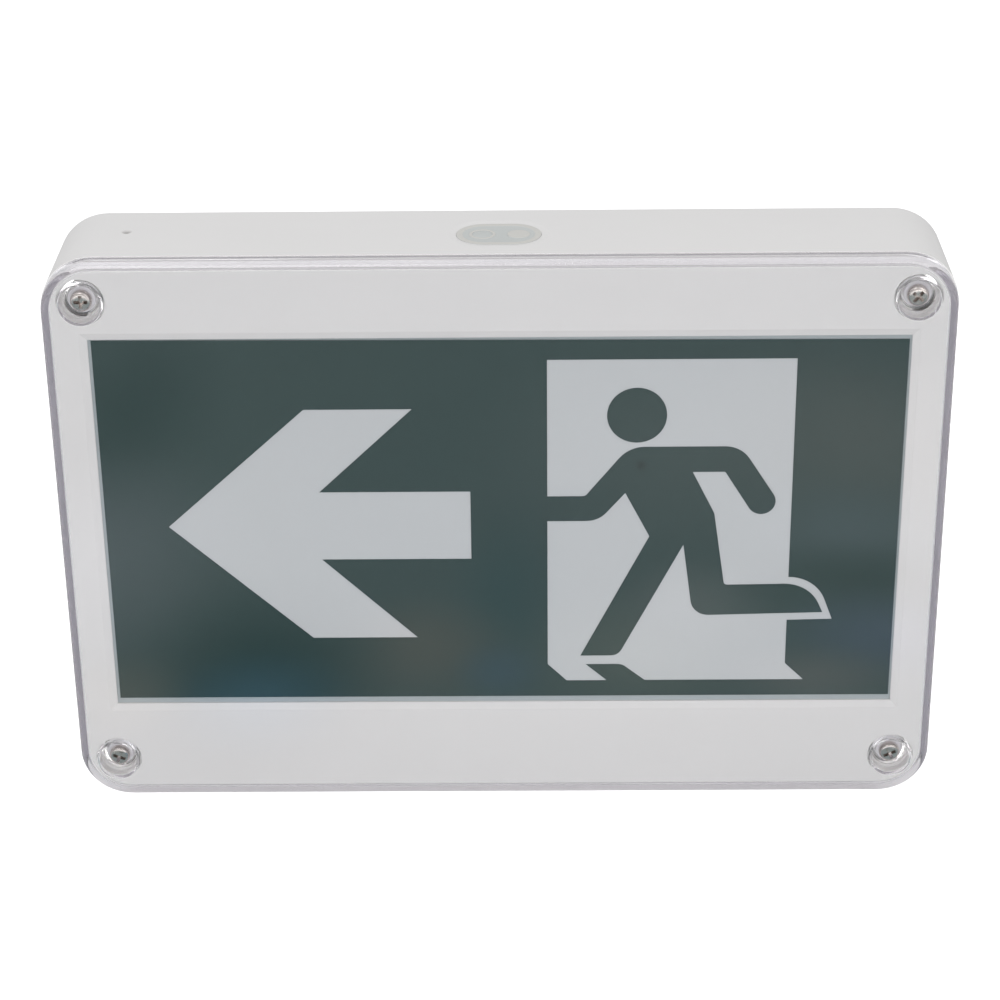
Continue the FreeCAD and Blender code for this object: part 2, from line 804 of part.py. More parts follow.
def make_light_bar(z):
    bar = box((light_bar_length, light_bar_thickness, light_bar_width), 0, z, tray_front_y)
    front = tray_front_y - light_bar_thickness
    return bar.cut([rod_y(bar_screw_r + hole_clear, x, z, front, tray_front_y) for x in bar_screw_places()])


def make_led_packages():
    front = tray_front_y - light_bar_thickness
    return group([box((led_width, led_depth, led_height), x, z, front)
                  for z in light_bar_rows() for x in row(leds_per_bar, led_pitch)])


def make_led_board_screws():
    seat = tray_front_y - light_bar_thickness
    return group([pan_screw(bar_screw_head_r, bar_screw_head_height, bar_screw_r, bar_screw_length,
                            vec(x, seat, z), vec(0, 1, 0))
                  for z in light_bar_rows() for x in bar_screw_places()])


def make_tray_screws():
    return group([pan_screw(tray_screw_head_r, tray_screw_head_height, tray_screw_r, tray_screw_length,
                            vec(x, tray_front_y, z), vec(0, 1, 0)) for x, z in tray_post_places()])


# ---- driver and battery ---------------------------------------------------------------------
def make_driver_board():
    board = box((driver_width, driver_thickness, driver_height), driver_x, 0, driver_back_y)
    return board.cut([rod_y(driver_screw_r + hole_clear, x, z, driver_front_y, driver_back_y)
                      for x, z in driver_post_places()])


def make_driver_screws():
    return group([pan_screw(driver_screw_head_r, driver_screw_head_height, driver_screw_r,
                            driver_screw_length, vec(x, driver_front_y, z), vec(0, 1, 0))
                  for x, z in driver_post_places()])


def on_driver(place):
    """A place on the driver board, given as shares of its width and height from its middle."""
    return driver_x + place[0] * driver_width, place[1] * driver_height


def make_transformer():
    x, z = on_driver(transformer_place)
    winding = box(transformer_size, x, z, driver_front_y)
    return fused([winding, box(transformer_core, x, z, driver_front_y)])


def make_capacitors():
    x, z = on_driver(capacitor_place)
    middle = driver_front_y - capacitor_r
    cans = []
    for step in row(2, capacitor_pitch):
        low = z + step - capacitor_length / 2
        cans.append(rod_z(capacitor_r, x, middle, low, low + capacitor_length))
    return group(cans)


def make_relay():
    x, z = on_driver(relay_place)
    return box(relay_size, x, z, driver_front_y)


def terminal_x():
    return driver_x + driver_width / 2 - terminal_size[0] / 2


def terminal_rows():
    return row(terminal_ways, terminal_size[2] / terminal_ways)


def make_terminal_block():
    block = box(terminal_size, terminal_x(), 0, driver_front_y)
    top = driver_front_y - terminal_size[1]
    face = terminal_x() + terminal_size[0] / 2
    cuts = []
    for z in terminal_rows():
        cuts.append(Part.makeCylinder(terminal_mouth_r, terminal_size[0] / 2,
                                      vec(face, driver_front_y - terminal_size[1] / 2, z), vec(-1, 0, 0)))
        cuts.append(rod_y(terminal_screw_r + hole_clear, terminal_x() - terminal_screw_inset, z,
                          top, top + terminal_screw_well))
    return block.cut(cuts)


def make_terminal_screws():
    top = driver_front_y - terminal_size[1]
    return group([rod_y(terminal_screw_r, terminal_x() - terminal_screw_inset, z,
                        top + terminal_screw_sink, top + terminal_screw_well) for z in terminal_rows()])


def make_battery_socket():
    return box(socket_size, terminal_x(), socket_place * driver_height, driver_front_y)


def make_battery_cradle():
    width, height = cradle_size()
    back = -housing_back
    cradle = box((width, cradle_height, height), battery_middle(), 0, back)
    hollow = box((width - 2 * cradle_wall, cradle_height, height - 2 * cradle_wall), battery_middle(), 0,
                 back - cradle_floor)
    return cradle.cut(hollow)


def make_battery_cells():
    middle = -housing_back - cradle_floor - cell_r
    low = -(cell_length + cap_height) / 2
    cells = []
    for x in row(cell_count, 2 * cell_r + cell_gap):
        can = rod_z(cell_r, battery_middle() + x, middle, low, low + cell_length)
        nub = rod_z(cap_r, battery_middle() + x, middle, low + cell_length, low + cell_length + cap_height)
        cells.append(fused([can, nub]))
    return group(cells)


def make_battery_strap():
    half = cradle_size()[0] / 2
    top = -housing_back - cradle_floor - 2 * cell_r
    foot = -housing_back - strap_post_height
    t = strap_thickness
    bridge = box((2 * (half + t), t, strap_width), battery_middle(), 0, top)
    pieces = [bridge]
    for side in (-1, 1):
        leg = Part.makeBox(t, foot - top + t, strap_width,
                           vec(battery_middle() + side * (half + t / 2) - t / 2, top - t, -strap_width / 2))
        ear = box((strap_ear, t, strap_width), battery_middle() + side * (half + t + strap_ear / 2), 0, foot)
        pieces.extend([leg, ear])
    strap = fused(pieces)
    hole_r = strap_screw_r + hole_clear
    return strap.cut([rod_y(hole_r, x, z, foot - t, foot) for x, z in strap_post_places()])


def make_battery_strap_screws():
    seat = -housing_back - strap_post_height - strap_thickness
    return group([pan_screw(strap_screw_head_r, strap_screw_head_height, strap_screw_r, strap_screw_length,
                            vec(x, seat, z), vec(0, 1, 0)) for x, z in strap_post_places()])


# ---- test window and what is under it -------------------------------------------------------
def make_test_membrane():
    """The oval soft window: a plug in the opening, a flange under the wall and two thin places."""
    plug = stadium(oval_length - 2 * membrane_gap, oval_width - 2 * membrane_gap, flange_z,
                   top_z - oval_dish_depth)
    flange = stadium(oval_length + 2 * membrane_flange, oval_width + 2 * membrane_flange, flange_z, ceiling_z)
    face = top_z - oval_dish_depth
    ridge = rod_z(pad_r, pad_x, oval_y, face, face + membrane_ridge).cut(
        rod_z(pad_r - pad_ridge_width, pad_x, oval_y, face, face + membrane_ridge))
    lens = rod_z(lens_r, lens_x, oval_y, face, face + membrane_ridge)
    under = face - membrane_skin
    pockets = [rod_z(button_cap_r + pocket_side_gap, pad_x, oval_y, flange_z, under),
               rod_z(lamp_r + pocket_side_gap, lens_x, oval_y, flange_z, under)]
    return fused([plug, flange, ridge, lens]).cut(pockets)


def make_test_bracket():
    """Presses the membrane's flange to the wall and carries the test board under it."""
    half = bracket_length / 2
    plate = Part.makeBox(bracket_length, bracket_width, bracket_plate,
                         vec(-half, oval_y - bracket_width / 2, plate_z))
    window = stadium(oval_length - 2 * bracket_border, oval_width - 2 * bracket_border, plate_z, flange_z)
    pieces = [plate.cut(window)]
    foot_z = board_bottom_z - bracket_ledge_thickness
    for side in (-1, 1):
        outer = side * half
        inner = side * (half - bracket_plate)
        shelf = side * (half - bracket_plate - bracket_ledge)
        hook = side * (half - bracket_plate - bracket_hook)
        tip = side * (half + bracket_ear_length)
        pieces.append(wall_block(outer, inner, bracket_width, foot_z, plate_z))
        pieces.append(wall_block(inner, shelf, bracket_width, foot_z, board_bottom_z))
        pieces.append(wall_block(inner, hook, bracket_hook_width, board_top_z,
                                 board_top_z + bracket_hook_height))
        ear = wall_block(outer, tip, bracket_ear_width, ear_bottom_z, ear_top_z)
        x = side * bracket_screw_x()
        pieces.append(ear.cut(rod_z(bracket_screw_r + hole_clear, x, oval_y, ear_bottom_z, ear_top_z)))
    return fused(pieces)


def wall_block(x_a, x_b, depth, low, high):
    return Part.makeBox(abs(x_b - x_a), depth, high - low, vec(min(x_a, x_b), oval_y - depth / 2, low))


def make_bracket_screws():
    return group([pan_screw(bracket_screw_head_r, bracket_screw_head_height, bracket_screw_r,
                            bracket_screw_length, vec(side * bracket_screw_x(), oval_y, ear_bottom_z),
                            vec(0, 0, 1)) for side in (-1, 1)])


def make_test_board():
    reach = bracket_length / 2 - bracket_plate - board_side_gap
    return wall_block(-reach, reach, board_width, board_bottom_z, board_top_z)


def make_test_switch():
    half = switch_body / 2
    top = board_top_z + switch_height
    corner = vec(pad_x - half, oval_y - half, board_top_z)
    body = Part.makeBox(switch_body, switch_body, switch_height, corner)
    return body.cut(rod_z(button_stem_r + stem_side_gap, pad_x, oval_y, top - stem_well_depth, top))


def make_test_button():
    switch_top = board_top_z + switch_height
    cap_low = switch_top + button_travel + button_clear
    cap_high = top_z - oval_dish_depth - membrane_skin - button_clear
    stem_low = switch_top - stem_well_depth + button_travel + button_clear
    cap = rod_z(button_cap_r, pad_x, oval_y, cap_low, cap_high)
    rim = [edge for edge in cap.Edges if edge.BoundBox.ZMin > cap_high - 1e-6]
    cap = cap.makeFillet(button_cap_round, rim)
    return fused([cap, rod_z(button_stem_r, pad_x, oval_y, stem_low, cap_low)])


def make_lamp_spacer():
    return rod_z(spacer_r, lens_x, oval_y, board_top_z, board_top_z + spacer_height)


def make_pilot_lamp():
    low = board_top_z + spacer_height
    flange = rod_z(lamp_flange_r, lens_x, oval_y, low, low + lamp_flange_height)
    shoulder = low + lamp_flange_height + lamp_body_height
    body = rod_z(lamp_r, lens_x, oval_y, low, shoulder)
    dome = Part.makeSphere(lamp_r, vec(lens_x, oval_y, shoulder), vec(0, 0, 1), 0, 90, 360)
    return fused([flange, body, dome])


# ---- every node ------------------------------------------------------------------------------
nodes = {
    "housing": make_housing,
    "front_cover": make_front_cover,
    "cover_gasket": make_cover_gasket,
    "cover_screws": make_cover_screws,
    "screw_seals": make_screw_seals,
    "threaded_inserts": make_threaded_inserts,
    "wall_gasket": wall_gasket_ring,
    "bezel": make_bezel,
    "diffuser_panel": make_diffuser_panel,
    "legend_film": make_legend_film,
    "legend_ink": make_legend_ink,
    "panel_clips": make_panel_clips,
    "clip_screws": make_clip_screws,
    "reflector_tray": make_reflector_tray,
    "tray_screws": make_tray_screws,
    "led_board_upper": lambda: make_light_bar(light_bar_rows()[0]),
    "led_board_lower": lambda: make_light_bar(light_bar_rows()[1]),
    "led_packages": make_led_packages,
    "led_board_screws": make_led_board_screws,
    "driver_board": make_driver_board,
    "driver_screws": make_driver_screws,
    "transformer": make_transformer,
    "capacitors": make_capacitors,
    "relay": make_relay,
    "terminal_block": make_terminal_block,
    "terminal_screws": make_terminal_screws,
    "battery_socket": make_battery_socket,
    "battery_cradle": make_battery_cradle,
    "battery_cells": make_battery_cells,
    "battery_strap": make_battery_strap,
    "battery_strap_screws": make_battery_strap_screws,
    "test_membrane": make_test_membrane,
    "test_bracket": make_test_bracket,
    "bracket_screws": make_bracket_screws,
    "test_board": make_test_board,
    "test_switch": make_test_switch,
    "test_button": make_test_button,
    "lamp_spacer": make_lamp_spacer,
    "pilot_lamp": make_pilot_lamp,
}

os.makedirs("parts", exist_ok=True)
for name, make in nodes.items():
    make().exportStep("parts/" + name + ".step")
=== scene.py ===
"""Looks of the emergency exit light: a sealed white box, a clear cover and a running-figure legend."""

import logging
import math
from dataclasses import dataclass, field
from enum import Enum

import bmesh
import bpy
from mathutils import Matrix, Vector

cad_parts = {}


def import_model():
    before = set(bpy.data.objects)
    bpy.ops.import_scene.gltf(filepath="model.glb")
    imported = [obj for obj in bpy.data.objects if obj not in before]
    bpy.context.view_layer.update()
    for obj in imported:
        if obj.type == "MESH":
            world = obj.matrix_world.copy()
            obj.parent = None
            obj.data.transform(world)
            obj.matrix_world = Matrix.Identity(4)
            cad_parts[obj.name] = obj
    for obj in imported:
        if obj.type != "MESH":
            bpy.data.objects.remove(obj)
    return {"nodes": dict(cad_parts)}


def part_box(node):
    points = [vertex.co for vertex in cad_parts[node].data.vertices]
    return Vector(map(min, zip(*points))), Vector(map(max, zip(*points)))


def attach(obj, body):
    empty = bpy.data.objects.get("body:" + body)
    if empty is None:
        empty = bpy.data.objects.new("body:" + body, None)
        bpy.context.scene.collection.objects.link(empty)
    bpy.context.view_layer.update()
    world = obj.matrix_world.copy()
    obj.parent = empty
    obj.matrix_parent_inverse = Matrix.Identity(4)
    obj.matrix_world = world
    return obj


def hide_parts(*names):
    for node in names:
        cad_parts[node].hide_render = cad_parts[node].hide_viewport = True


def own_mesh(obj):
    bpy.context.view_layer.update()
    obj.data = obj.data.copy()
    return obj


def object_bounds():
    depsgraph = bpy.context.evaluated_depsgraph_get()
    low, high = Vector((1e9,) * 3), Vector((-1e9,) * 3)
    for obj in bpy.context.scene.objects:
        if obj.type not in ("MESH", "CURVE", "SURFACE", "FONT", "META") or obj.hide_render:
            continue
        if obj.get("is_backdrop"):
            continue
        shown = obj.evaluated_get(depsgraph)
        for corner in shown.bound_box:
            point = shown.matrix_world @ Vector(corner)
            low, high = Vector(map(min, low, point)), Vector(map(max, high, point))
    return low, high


LOG = logging.getLogger("exit_light")
CASING = "casing"
MM = 0.001
GUARD = 0.05 * MM
SHARP_ANGLE = math.radians(32.0)
Point = tuple[float, float]
Colour = tuple[float, float, float]
Triple = tuple[float, float, float]
Loop = list[bmesh.types.BMVert]
Socket = bpy.types.NodeSocket
NOISE_WEAK, NOISE_STRONG = 0.3, 0.7
CORNER_SIDES = tuple((side_x, side_z) for side_x in (-1, 1) for side_z in (-1, 1))


# ---- helpers for meshes --------------------------------------------------------------------
class Corner(Enum):
    """The four cover corners, in the order in which a two by two grid lists its points."""

    LOWER_LEFT = 0
    UPPER_LEFT = 1
    LOWER_RIGHT = 2
    UPPER_RIGHT = 3


@dataclass
class Shell:
    """Collects loops of points and joins them into one closed mesh."""

    name: str
    bm: bmesh.types.BMesh = field(default_factory=bmesh.new)

    def loop(self, points: list[Vector]) -> Loop:
        """Adds a closed loop of points.

        Args:
            points: The places of the loop's vertices, in order.

        Returns:
            The new vertices.
        """
        return [self.bm.verts.new(p) for p in points]

    def skin(self, loops: list[Loop]) -> None:
        """Joins each loop to the next one with a band of quads.

        Args:
            loops: Loops that all have as many vertices.
        """
        for near, far in zip(loops, loops[1:]):
            count = len(near)
            for i in range(count):
                j = (i + 1) % count
                self.bm.faces.new((near[i], near[j], far[j], far[i]))

    def cap(self, outer: Loop, holes: list[Loop]) -> None:
        """Fills a flat face inside a loop, round the loops of its holes.

        Args:
            outer: The loop round the face.
            holes: The loops of its holes.
        """
        edges = []
        for ring in [outer, *holes]:
            for i, vert in enumerate(ring):
                pair = (vert, ring[(i + 1) % len(ring)])
                edges.append(self.bm.edges.get(pair) or self.bm.edges.new(pair))
        bmesh.ops.triangle_fill(self.bm, edges=edges, use_beauty=True)

    def finish(self) -> bpy.types.Object:
        """Turns the faces outwards, shades them and makes the object.

        Returns:
            The object, in the scene and at the origin.
        """
        bmesh.ops.recalc_face_normals(self.bm, faces=self.bm.faces)
        mesh = bpy.data.meshes.new(self.name)
        self.bm.to_mesh(mesh)
        self.bm.free()
        return place(self.name, mesh)


def place(name: str, mesh: bpy.types.Mesh) -> bpy.types.Object:
    """Puts a mesh in the scene, smooth but for its sharp edges.

    Args:
        name: The object's name.
        mesh: Its mesh.

    Returns:
        The new object.
    """
    mesh.name = name
    mesh.shade_smooth()
    mesh.set_sharp_from_angle(angle=SHARP_ANGLE)
    thing = bpy.data.objects.new(name, mesh)
    bpy.context.scene.collection.objects.link(thing)
    return thing


def rounded_loop(half_w: float, half_h: float, radius: float, y: float, steps: int = 24) -> list[Vector]:
    """Points round a rectangle with round corners, upright and facing the front.

    Args:
        half_w: Half its width.
        half_h: Half its height.
        radius: The radius of its corners.
        y: Its depth.
        steps: How many chords make one corner.

    Returns:
        The points, anticlockwise as seen from the front.
    """
    points = []
    for quarter in range(4):
        middle_x = (half_w - radius) * (1 if quarter in (0, 3) else -1)
        middle_z = (half_h - radius) * (1 if quarter in (0, 1) else -1)
        for step in range(steps + 1):
            angle = math.pi / 2 * (quarter + step / steps)
            x, z = middle_x + radius * math.cos(angle), middle_z + radius * math.sin(angle)
            points.append(Vector((x, y, z)))
    return points


def round_loop(radius: float, x: float, y: float, z: float, steps: int = 64) -> list[Vector]:
    """Points round an upright circle that faces the front."""
    turns = [2 * math.pi * i / steps for i in range(steps)]
    return [Vector((x + radius * math.cos(a), y, z + radius * math.sin(a))) for a in turns]


def level_round(radius: float, x: float, y: float, z: float, steps: int = 64) -> list[Vector]:
    """Points round a level circle that faces up."""
    turns = [2 * math.pi * i / steps for i in range(steps)]
    return [Vector((x + radius * math.cos(a), y + radius * math.sin(a), z)) for a in turns]


def level_stadium(half_l: float, half_w: float, y: float, z: float, steps: int = 48) -> list[Vector]:
    """Points round a level oval with straight sides.

    Args:
        half_l: Half its length, along X.
        half_w: Half its width, which is the radius of its ends.
        y: Where its middle lies.
        z: Its height.
        steps: How many chords make one end.

    Returns:
        The points.
    """
    reach = half_l - half_w
    points = []
    for side in (1, -1):
        for step in range(steps + 1):
            angle = math.pi * (step / steps - 0.5)
            x = side * (reach + half_w * math.cos(angle))
            points.append(Vector((x, y + side * half_w * math.sin(angle), z)))
    return points


def arc(centre: Point, radius: float, start: float, end: float, steps: int) -> list[Point]:
    """Points on an arc.

    Args:
        centre: Its centre.
        radius: Its radius.
        start: The angle of its first point, in degrees.
        end: The angle of its last point, in degrees.
        steps: How many chords make it.

    Returns:
        The points, both ends included.
    """
    turns = [math.radians(start + (end - start) * i / steps) for i in range(steps + 1)]
    return [(centre[0] + radius * math.cos(a), centre[1] + radius * math.sin(a)) for a in turns]


def baked(thing: bpy.types.Object, name: str) -> bpy.types.Object:
    """Turns an object with modifiers into a plain mesh object and removes the old one.

    Args:
        thing: The object with its modifiers.
        name: The name of the new object.

    Returns:
        The new object.
    """
    bpy.context.view_layer.update()
    graph = bpy.context.evaluated_depsgraph_get()
    mesh = bpy.data.meshes.new_from_object(thing.evaluated_get(graph), depsgraph=graph)
    bpy.data.objects.remove(thing)
    return place(name, mesh)


# ---- finishes --------------------------------------------------------------------------------
class Tree:
    """A node tree in the making."""

    def __init__(self, tree: bpy.types.NodeTree) -> None:
        """Takes a tree and empties it."""
        self.tree = tree
        tree.nodes.clear()

    def node(self, kind: str, values: dict | None = None, **settings: object) -> bpy.types.Node:
        """Adds a node.

        Args:
            kind: Its type.
            values: Plain values or outputs for its inputs, by name or index.
            settings: Its properties.

        Returns:
            The node.
        """
        made = self.tree.nodes.new(kind)
        for key, value in settings.items():
            setattr(made, key, value)
        self.feed(made, values or {})
        return made

    def feed(self, node: bpy.types.Node, values: dict) -> None:
        """Sets or links a node's inputs.

        Args:
            node: The node.
            values: Plain values or outputs for its inputs, by name or index.
        """
        for key, value in values.items():
            if isinstance(value, Socket):
                self.tree.links.new(value, node.inputs[key])
            else:
                node.inputs[key].default_value = value


class Graph(Tree):
    """Builds the nodes of one material."""

    def __init__(self, name: str) -> None:
        """Starts an empty material.

        Args:
            name: The material's name.
        """
        self.material = bpy.data.materials.new(name)
        self.material.use_nodes = True
        super().__init__(self.material.node_tree)
        self.output = self.node("ShaderNodeOutputMaterial")
        self.coordinates = self.node("ShaderNodeTexCoord").outputs["Object"]

    def grain(self, scale: float, detail: float = 2.0) -> Socket:
        """A noise value on the piece's own coordinates.

        Args:
            scale: How fine the noise is, in grains to a metre.
            detail: Its octaves.

        Returns:
            The value's socket.
        """
        values = {"Vector": self.coordinates, "Scale": scale, "Detail": detail}
        return self.node("ShaderNodeTexNoise", values).outputs["Fac"]

    def spread(self, value: Socket, low: float, high: float) -> Socket:
        """Maps the middle of a noise value to a range.

        Args:
            value: The noise.
            low: The result where the noise is weak.
            high: The result where it is strong.

        Returns:
            The mapped value's socket.
        """
        values = {"Value": value, "From Min": NOISE_WEAK, "From Max": NOISE_STRONG,
                  "To Min": low, "To Max": high}
        return self.node("ShaderNodeMapRange", values).outputs["Result"]

    def polished(self, noise: Socket, roughness: float, shares: Point) -> Socket:
        """A roughness that wanders between two shares of its plain value."""
        return self.spread(noise, roughness * shares[0], roughness * shares[1])

    def blob(self, centre: Triple, reach: Triple) -> Socket:
        """A soft spot: 1 in its middle and 0 at its reach.

        Args:
            centre: Its middle.
            reach: How far it goes each way; 0 stands for no limit.

        Returns:
            The value's socket.
        """
        scale = tuple(1.0 / r if r else 0.0 for r in reach)
        shift = tuple(-c * s for c, s in zip(centre, scale))
        values = {"Vector": self.coordinates, "Scale": scale, "Location": shift}
        held = self.node("ShaderNodeMapping", values).outputs[0]
        ball = self.node("ShaderNodeTexGradient", {"Vector": held}, gradient_type="SPHERICAL")
        return self.eased({"Value": ball.outputs["Fac"]})

    def eased(self, values: dict) -> Socket:
        """A value mapped to a range with soft ends."""
        return self.node("ShaderNodeMapRange", values, interpolation_type="SMOOTHSTEP").outputs["Result"]

    def laid(self, under: Socket | Colour, colour: Colour, share: Socket) -> Socket:
        """A colour laid over another.

        Args:
            under: The colour below.
            colour: The colour on top.
            share: How much the top one covers.

        Returns:
            The mixed colour's socket.
        """
        below = under if isinstance(under, Socket) else (*under, 1.0)
        mix = self.node("ShaderNodeMix", {0: share}, data_type="RGBA")
        self.feed(mix, {6: below, 7: (*colour, 1.0)})
        return mix.outputs[2]

    def spotted(self, colour: Socket | Colour, spots: tuple["Spot", ...]) -> Socket:
        """A colour with soft patches laid over it in turn.

        Args:
            colour: The colour below.
            spots: The patches.

        Returns:
            The last mixed colour's socket.
        """
        for spot in spots:
            colour = self.laid(colour, spot.colour, self.blob(spot.centre, spot.reach))
        return colour

    def bump(self, height: Socket, depth: float) -> Socket:
        """A normal from a height value from 0 to 1, on a relief so many metres deep."""
        return self.node("ShaderNodeBump", {"Height": height, "Distance": depth}).outputs["Normal"]

    def close(self, surface: Socket) -> bpy.types.Material:
        """Ends the material with a surface shader."""
        self.feed(self.output, {"Surface": surface})
        return self.material

    def coat(self, values: dict) -> bpy.types.Material:
        """Ends the material with one Principled shader."""
        return self.close(self.node("ShaderNodeBsdfPrincipled", values).outputs[0])


def darker(colour: Colour, share: float) -> Colour:
    """The colour with its brightness brought down to a share."""
    return tuple(channel * share for channel in colour)


@dataclass(frozen=True)
class Spot:
    """A soft patch of colour."""

    centre: Triple
    reach: Triple
    colour: Colour


@dataclass(frozen=True)
class Moulded:
    """Moulded plastic or rubber: a fine grain, faint flow marks and a soft gloss."""

    name: str
    colour: Colour
    roughness: float = 0.42
    mottle: float = 0.97
    grain_scale: float = 2600.0
    grain_depth: float = 0.00003
    flow_scale: float = 22.0
    spots: tuple[Spot, ...] = ()
    polish: Point = (0.9, 1.12)
    polish_share: float = 4.0
    ior: float = 1.5

    def material(self) -> bpy.types.Material:
        """Builds the material.

        Returns:
            The material.
        """
        g = Graph(self.name)
        flow = g.spread(g.grain(self.flow_scale, 3.0), 0.0, 1.0)
        fine = g.grain(self.grain_scale)
        colour = g.spotted(g.laid(self.colour, darker(self.colour, self.mottle), flow), self.spots)
        rough = g.polished(g.grain(self.flow_scale * self.polish_share, 3.0), self.roughness, self.polish)
        values = {"Base Color": colour, "Roughness": rough, "IOR": self.ior,
                  "Normal": g.bump(fine, self.grain_depth)}
        return g.coat(values)


@dataclass(frozen=True)
class ClearPolycarbonate:
    """Water-clear moulding with a lilac cast where light runs far through it."""

    name: str
    ior: float = 1.585
    roughness: float = 0.0
    cast: Colour = (0.90, 0.885, 0.915)
    density: float = 90.0
    ripple_scale: float = 9.0
    ripple_depth: float = 0.000006
    glow: float = 0.11
    glow_from: float = 2.5

    def material(self) -> bpy.types.Material:
        """Builds the material; lamps and scattered light pass straight through it.

        Light that has turned in the edges many times is lost to the bounce limit, so such rays get a
        faint glow.

        Returns:
            The material.
        """
        g = Graph(self.name)
        path = g.node("ShaderNodeLightPath")
        deep = g.node("ShaderNodeMath", {0: path.outputs["Ray Depth"], 1: self.glow_from},
                      operation="GREATER_THAN")
        lost = g.node("ShaderNodeMath", {0: deep.outputs[0], 1: self.glow}, operation="MULTIPLY")
        ripple = g.bump(g.grain(self.ripple_scale, 1.0), self.ripple_depth)
        values = {"Base Color": (1, 1, 1, 1), "Roughness": self.roughness, "IOR": self.ior,
                  "Transmission Weight": 1.0, "Normal": ripple,
                  "Emission Color": (*self.cast, 1.0), "Emission Strength": lost.outputs[0]}
        clear = g.node("ShaderNodeBsdfPrincipled", values).outputs[0]
        through = g.node("ShaderNodeBsdfTransparent").outputs[0]
        scattered = g.node("ShaderNodeMixShader", {0: path.outputs["Is Diffuse Ray"], 1: clear, 2: through})
        lamps = g.node("ShaderNodeMixShader",
                       {0: path.outputs["Is Shadow Ray"], 1: scattered.outputs[0], 2: through})
        depth = g.node("ShaderNodeVolumeAbsorption", {"Color": (*self.cast, 1.0), "Density": self.density})
        g.material.cycles.emission_sampling = "NONE"
        g.tree.links.new(depth.outputs[0], g.output.inputs["Volume"])
        return g.close(lamps.outputs[0])


@dataclass(frozen=True)
class Print:
    """A flat film or an ink layer: even colour, cloudy density and fine specks."""

    name: str
    colour: Colour
    cloud: Colour
    roughness: float = 0.5
    cloud_scale: float = 7.0
    speck_scale: float = 900.0
    speck_depth: float = 0.000012
    gloss: float = 0.1
    spots: tuple[Spot, ...] = ()
    polish: Point = (0.92, 1.1)
    polish_share: float = 9.0
    ior: float = 1.5

    def material(self) -> bpy.types.Material:
        """Builds the material.

        Returns:
            The material.
        """
        g = Graph(self.name)
        cloud = g.spread(g.grain(self.cloud_scale), 0.0, 1.0)
        speck = g.grain(self.speck_scale, 3.0)
        colour = g.spotted(g.laid(self.colour, self.cloud, cloud), self.spots)
        rough = g.polished(g.grain(self.cloud_scale * self.polish_share), self.roughness, self.polish)
        values = {"Base Color": colour, "Roughness": rough, "IOR": self.ior, "Specular IOR Level": self.gloss,
                  "Normal": g.bump(speck, self.speck_depth)}
        return g.coat(values)


@dataclass(frozen=True)
class Membrane:
    """Pale silicone rubber that looks lighter where it stands proud and is thicker."""

    name: str
    thin: Colour
    thick: Colour
    low_z: float
    high_z: float
    roughness: float = 0.5
    polish: Point = (0.9, 1.1)
    polish_scale: float = 300.0
    cloud_scale: float = 400.0
    cloud_share: float = 0.12
    grain_scale: float = 1800.0
    grain_depth: float = 0.00001
    ior: float = 1.41

    def material(self) -> bpy.types.Material:
        """Builds the material.

        Returns:
            The material.
        """
        g = Graph(self.name)
        height = g.node("ShaderNodeSeparateXYZ", {0: g.coordinates}).outputs["Z"]
        share = g.eased({"Value": height, "From Min": self.low_z, "From Max": self.high_z})
        colour = g.laid(self.thin, self.thick, share)
        colour = g.laid(colour, self.thin, g.spread(g.grain(self.cloud_scale), 0.0, self.cloud_share))
        rough = g.polished(g.grain(self.polish_scale), self.roughness, self.polish)
        values = {"Base Color": colour, "Roughness": rough, "IOR": self.ior,
                  "Normal": g.bump(g.grain(self.grain_scale), self.grain_depth)}
        return g.coat(values)


@dataclass(frozen=True)
class Metal:
    """Plated or rolled metal with faint scratches and uneven polish."""

    name: str
    colour: Colour = (0.74, 0.73, 0.70)
    roughness: float = 0.2
    scratch_scale: float = 700.0
    scratch_depth: float = 0.000006
    stretch: Triple = (1.0, 1.0, 8.0)
    patch_share: float = 0.4
    mottle: float = 0.88
    polish: Point = (0.7, 1.5)

    def material(self) -> bpy.types.Material:
        """Builds the material.

        Returns:
            The material.
        """
        g = Graph(self.name)
        drawn = g.node("ShaderNodeMapping", {"Vector": g.coordinates, "Scale": self.stretch}).outputs[0]
        lines = g.node("ShaderNodeTexNoise", {"Vector": drawn, "Scale": self.scratch_scale, "Detail": 3.0})
        patch = g.grain(self.scratch_scale * self.patch_share, 3.0)
        colour = g.laid(self.colour, darker(self.colour, self.mottle), g.spread(patch, 0.0, 1.0))
        rough = g.polished(patch, self.roughness, self.polish)
        values = {"Base Color": colour, "Roughness": rough, "Metallic": 1.0,
                  "Normal": g.bump(lines.outputs["Fac"], self.scratch_depth)}
        return g.coat(values)


@dataclass(frozen=True)
class CircuitBoard:
    """Solder mask over copper tracks, with the tracks standing a little proud."""

    name: str
    mask: Colour
    track: Colour
    pitch: float = 260.0
    scatter: float = 0.6
    track_edge: Point = (0.34, 0.36)
    track_height: float = 0.00003
    roughness: Point = (0.28, 0.4)
    patch_scale: float = 300.0

    def material(self) -> bpy.types.Material:
        """Builds the material.

        Returns:
            The material.
        """
        g = Graph(self.name)
        cells = g.node("ShaderNodeTexVoronoi", {
            "Vector": g.coordinates, "Scale": self.pitch, "Randomness": self.scatter},
            distance="CHEBYCHEV", feature="F1")
        tracks = g.node("ShaderNodeMapRange", {
            "Value": cells.outputs["Distance"], "From Min": self.track_edge[0],
            "From Max": self.track_edge[1]}).outputs["Result"]
        values = {"Base Color": g.laid(self.mask, self.track, tracks),
                  "Roughness": g.spread(g.grain(self.patch_scale), *self.roughness),
                  "Normal": g.bump(tracks, self.track_height)}
        return g.coat(values)


